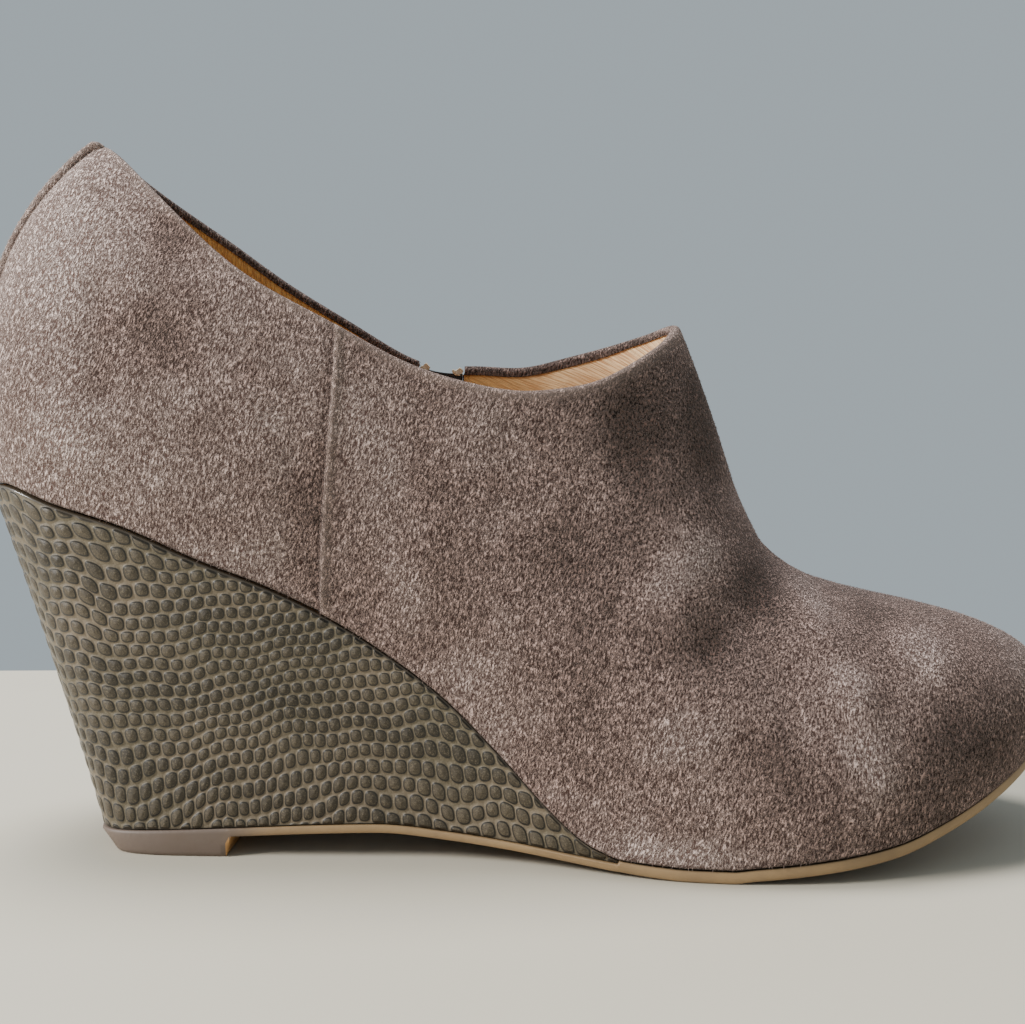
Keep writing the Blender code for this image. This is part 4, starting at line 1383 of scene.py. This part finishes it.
def build_outsole(material, breast_material):
    """Thin moulded sole with its heel lift and breast in one."""
    stops = [0.0]
    tip = x_at(WEDGE_TIP)
    for x in (HEEL_BREAST, HEEL_BREAST + BREAST_SLANT, tip - 0.0002, tip + GAP):
        stops.append(section_at(BASE_LOOP, x))
    stops.append(float(TOE_SECTION))
    parts = [np.linspace(start, end, count + 1)[:-1]
             for start, end, count in zip(stops, stops[1:], SOLE_STEPS)]
    order = there_and_back(np.concatenate((*parts, stops[-1:])))
    backward = np.clip(-plan_normal(BASE_LOOP, order)[..., 0], 0.0, 1.0)
    grids, under, cement_and_shade = [], [], []
    for proud, share, line_darkness in SOLE_RINGS:
        inset = HEEL_BEVEL * backward ** 2 * max(0.0, share - BEVEL_FROM) / (1 - BEVEL_FROM)
        flat = outset(BASE_LOOP, order, SOLE_EDGE - proud - inset)
        x = flat[..., 0]
        grids.append(lift(flat, sole_top_z(x) * (1 - share) + sole_bottom_z(x) * share))
        under.append(np.full(len(x), 1.0 if share == 1.0 else 0.0))
        # Dark line along the forepart's top edge: cement and painted shade under the suede
        cement_and_shade.append(smooth_step(x, *CEMENT_SHADE_FROM) * line_darkness)

    faces = block_faces(len(SOLE_RINGS), len(order) // 2)
    points = np.concatenate(grids)
    centres = [points[list(face)].mean(axis=0) for face in faces]
    start, end = HEEL_BREAST + BREAST_MARGIN, HEEL_BREAST + BREAST_SLANT - BREAST_MARGIN
    on_breast = [int(start < x < end and z < BREAST_HEIGHT) for x, _, z in centres]
    piece = add_piece("moulded_sole", points, faces, material, {"under": under, "cement_and_shade": cement_and_shade},
                      "sole_rubber", (breast_material,), on_breast, 42.0)
    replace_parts(piece, "outsole")


def build_insole(material):
    """Leather sock with rounded edges on its board."""
    order = there_and_back(np.linspace(0.0, TOE_SECTION, 140))
    grids = []
    for inset, height in INSOLE_RINGS:
        flat = outset(FOOT_LOOP, order, -WALL - GAP - inset + 0 * order)
        grids.append(lift(flat, feather_z(flat[..., 0]) + height))
    piece = add_piece("insole_cover", grids, block_faces(len(INSOLE_RINGS), len(order) // 2),
                      material, {}, "insole_cover", angle=40.0)
    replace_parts(piece, "insole")


def zip_frame(v, side, height):
    """Place on the zip with its axes: across toward the toe, out and up."""
    section = zip_section(v, side)
    out = wall_normal(section, v)
    below, above = (wall_point(zip_section(at, side), at) for at in (v - 0.02, v + 0.02))
    up = above - below
    up = up - out * np.dot(up, out)
    up = up / np.linalg.norm(up)
    turn = Matrix((np.cross(out, up), out, up)).transposed().to_4x4()
    return Matrix.Translation(wall_point(section, v) + out * height) @ turn


def take_selected(name, material, body):
    """The object just modelled becomes a finished piece, with its place in its mesh."""
    piece = bpy.context.object
    piece.name = name
    bpy.ops.object.transform_apply(location=True, rotation=True, scale=True)
    piece.data.materials.clear()
    piece.data.materials.append(material)
    bpy.ops.object.shade_smooth_by_angle(angle=math.radians(35))
    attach(piece, body)
    return piece


def bevel_selected(width, segments=2):
    """Round the edges of the object just modelled."""
    modifier = bpy.context.object.modifiers.new("edge", "BEVEL")
    modifier.width = width
    modifier.segments = segments
    modifier.limit_method = "ANGLE"
    modifier.angle_limit = math.radians(30)
    bpy.ops.object.modifier_apply(modifier=modifier.name)


def build_zip_tape(material, cream):
    """Woven tapes with a cord along each side of the teeth, ending just under the collar."""
    length = float(wall_length(ZIP_AT_COLLAR))
    v = np.linspace(SLOT_FLOOR - TAPE_BELOW_SLOT, 1 - TAPE_DROP / length, 90)[:, None]
    edge = SLOT_WIDTH / 2 - GAP
    side = np.linspace(-edge, edge, 45)[None, :]
    sections = zip_section(v, side)
    cords = hump(np.abs(side) - ZIP_CORD, CORD_REACH)
    hem = smooth_step(np.abs(side), edge - TAPE_HEM, edge)
    front = -GAP + CORD_HEIGHT * cords - TAPE_HEM * hem + 0 * v
    back = -GAP - ZIP_TAPE + TAPE_HEM * hem + 0 * v
    plain = wall_point(sections, v + 0 * side)
    normal = wall_normal(sections, v + 0 * side)
    outer, inner = (plain + normal * height[..., None] for height in (front, back))
    tape = wall_shell("zip_tape_cloth", outer, inner, material, {}, slot="zip_black")
    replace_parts(tape, "zip_tape")
    for number, (low_side, high_side) in enumerate(CREAM_ENDS):
        bpy.ops.object.select_all(action="DESELECT")
        bpy.ops.mesh.primitive_cube_add(size=1.0)
        end = bpy.context.object
        bpy.ops.object.mode_set(mode="EDIT")
        bpy.ops.mesh.subdivide(number_cuts=4)
        bpy.ops.object.mode_set(mode="OBJECT")
        for point in end.data.vertices:
            x, y, z = point.co
            point.co = (x * (high_side - low_side) * (1 + 0.15 * math.sin(9 * z)),
                        y * CREAM_THICKNESS + 0.0002 * math.sin(7 * x + 4 * z),
                        z * CREAM_HEIGHT + 0.0004 * math.sin(6 * x + number) * (z + 0.5))
        end.matrix_world = zip_frame(1 - (TAPE_DROP - CREAM_ABOVE_TAPE) / length,
                                     (low_side + high_side) / 2, -GAP - ZIP_TAPE / 2)
        bevel_selected(0.0002)
        take_selected(f"cream_tape_end_{number + 1}", cream, BOOT)


def build_zip_teeth(material):
    """Closed chain: one moulded tooth, copied up both sides."""
    length = float(wall_length(ZIP_AT_COLLAR))
    bpy.ops.object.select_all(action="DESELECT")
    bpy.ops.mesh.primitive_cube_add(size=1.0, scale=TOOTH)
    tooth = bpy.context.object
    bpy.ops.object.transform_apply(location=False, rotation=False, scale=True)
    for point in tooth.data.vertices:
        if point.co.x > 0:
            point.co.z *= TOOTH_END_SHARE
    bevel_selected(0.00018, 1)
    shape = np.array([point.co for point in tooth.data.vertices])
    sides = [tuple(polygon.vertices) for polygon in tooth.data.polygons]
    bpy.data.objects.remove(tooth, do_unlink=True)
    points, faces = [], []
    first = SLOT_FLOOR + TEETH_ABOVE_SLOT / length
    count = int((1 - 2 * TAPE_DROP / length - first) * length / TOOTH_PITCH)
    for number in range(count):
        hand = 1 if number % 2 else -1
        place = zip_frame(first + TOOTH_PITCH * number / length, 0.0, -TEETH_SUNK)
        start = len(points)
        points += [place @ Vector((hand * (x - TOOTH_OFFSET), y, z)) for x, y, z in shape]
        faces += [tuple(start + i for i in side[::hand]) for side in sides]
    add_piece("zip_teeth", points, faces, material, {}, "zip_black", angle=35.0)


def build_rounded_copy(node, name, width, material, body):
    """A solid's copy with its edges softened, standing for it."""
    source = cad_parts[node]
    bpy.ops.object.select_all(action="DESELECT")
    source.select_set(True)
    bpy.context.view_layer.objects.active = source
    bpy.ops.object.duplicate()
    copy = bpy.context.object
    copy.hide_render = False
    bpy.ops.object.mode_set(mode="EDIT")
    bpy.ops.mesh.select_all(action="SELECT")
    bpy.ops.mesh.remove_doubles(threshold=0.000005)
    bpy.ops.mesh.dissolve_limited(angle_limit=math.radians(3))
    bpy.ops.object.mode_set(mode="OBJECT")
    bevel_selected(width)
    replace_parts(take_selected(name, material, body), node)


# The boot's middle, and where the floor ends behind it
MIDDLE = Vector((0.07, 0.0, 0.06))
FLOOR_BACK = 0.20
FLOOR_SIZE = 2.0


def build_stage():
    """Plain pale floor that ends a little behind the boot, like a shelf."""
    bpy.ops.object.select_all(action="DESELECT")
    bpy.ops.mesh.primitive_plane_add(
        size=FLOOR_SIZE, location=(MIDDLE.x, FLOOR_BACK - FLOOR_SIZE / 2, 0.0))
    floor = bpy.context.object
    floor.name = "floor"
    finish = Finish("pale floor")
    clouds = finish.noise(6.0, 3.0)
    colour = finish.blend(clouds, srgb(188, 181, 164), srgb(199, 192, 175))
    floor.data.materials.append(finish.paint(Base_Color=colour, Roughness=0.6))


def add_light(name, place, size, power, colour=(1.0, 1.0, 1.0)):
    """A round soft light that faces the boot."""
    data = bpy.data.lights.new(name, "AREA")
    data.shape = "DISK"
    data.size = size
    data.energy = power
    data.color = colour
    light = bpy.data.objects.new(name, data)
    light.location = place
    light.rotation_euler = (MIDDLE - Vector(place)).to_track_quat("-Z", "Y").to_euler()
    bpy.context.scene.collection.objects.link(light)


def build_light():
    """Window-like soft light from the upper left, a weaker one overhead and a pale room."""
    world = bpy.data.worlds.new("soft room")
    bpy.context.scene.world = world
    world.use_nodes = True
    background = world.node_tree.nodes["Background"]
    background.inputs["Color"].default_value = (*srgb(161, 172, 178), 1.0)
    background.inputs["Strength"].default_value = 1.10
    add_light("window", (-1.2, -0.42, 0.75), 0.55, 37.0, (1.0, 0.98, 0.955))
    add_light("overhead", (-0.15, 0.20, 1.2), 0.5, 17.0)


# The photograph's camera, from its vanishing lines
PHOTO_WIDTH = 1025
FOCAL_PIXELS = 1276.0
CAMERA_PLACE = (0.0772, -0.290, 0.0861)
CAMERA_PITCH = math.radians(2.96)
CAMERA_YAW = math.radians(0.875)
CAMERA_ROLL = math.radians(-0.37)


def build_camera():
    """The photograph's view of the boot."""
    data = bpy.data.cameras.new("camera")
    data.sensor_fit = "HORIZONTAL"
    data.sensor_width = 36.0
    data.lens = data.sensor_width * FOCAL_PIXELS / PHOTO_WIDTH
    data.clip_start = 0.01
    camera = bpy.data.objects.new("camera", data)
    forward = Vector((-math.sin(CAMERA_YAW) * math.cos(CAMERA_PITCH),
                      math.cos(CAMERA_YAW) * math.cos(CAMERA_PITCH), -math.sin(CAMERA_PITCH)))
    right = forward.cross(Vector((0, 0, 1))).normalized()
    up = right.cross(forward)
    rolled_right = right * math.cos(CAMERA_ROLL) + up * math.sin(CAMERA_ROLL)
    rolled_up = up * math.cos(CAMERA_ROLL) - right * math.sin(CAMERA_ROLL)
    turn = Matrix((rolled_right, rolled_up, -forward)).transposed().to_4x4()
    camera.matrix_world = Matrix.Translation(CAMERA_PLACE) @ turn
    bpy.context.scene.collection.objects.link(camera)
    bpy.context.scene.camera = camera


build_upper(suede_finish())
build_nap(nap_finish())
build_lining(lining_finish())
build_wedge(embossed_finish())
build_outsole(sole_finish(), breast_finish())
build_insole(insole_finish())
build_zip_tape(tape_finish(), cream_finish())
build_zip_teeth(teeth_finish())
nickel = metal_finish()
build_rounded_copy("zip_slider", "slider_with_bail", 0.00018, nickel, BOOT)
build_rounded_copy("zip_pull", "pull_tab_plate", 0.00015, nickel, PULL_TAB)
build_stage()
build_light()
build_camera()
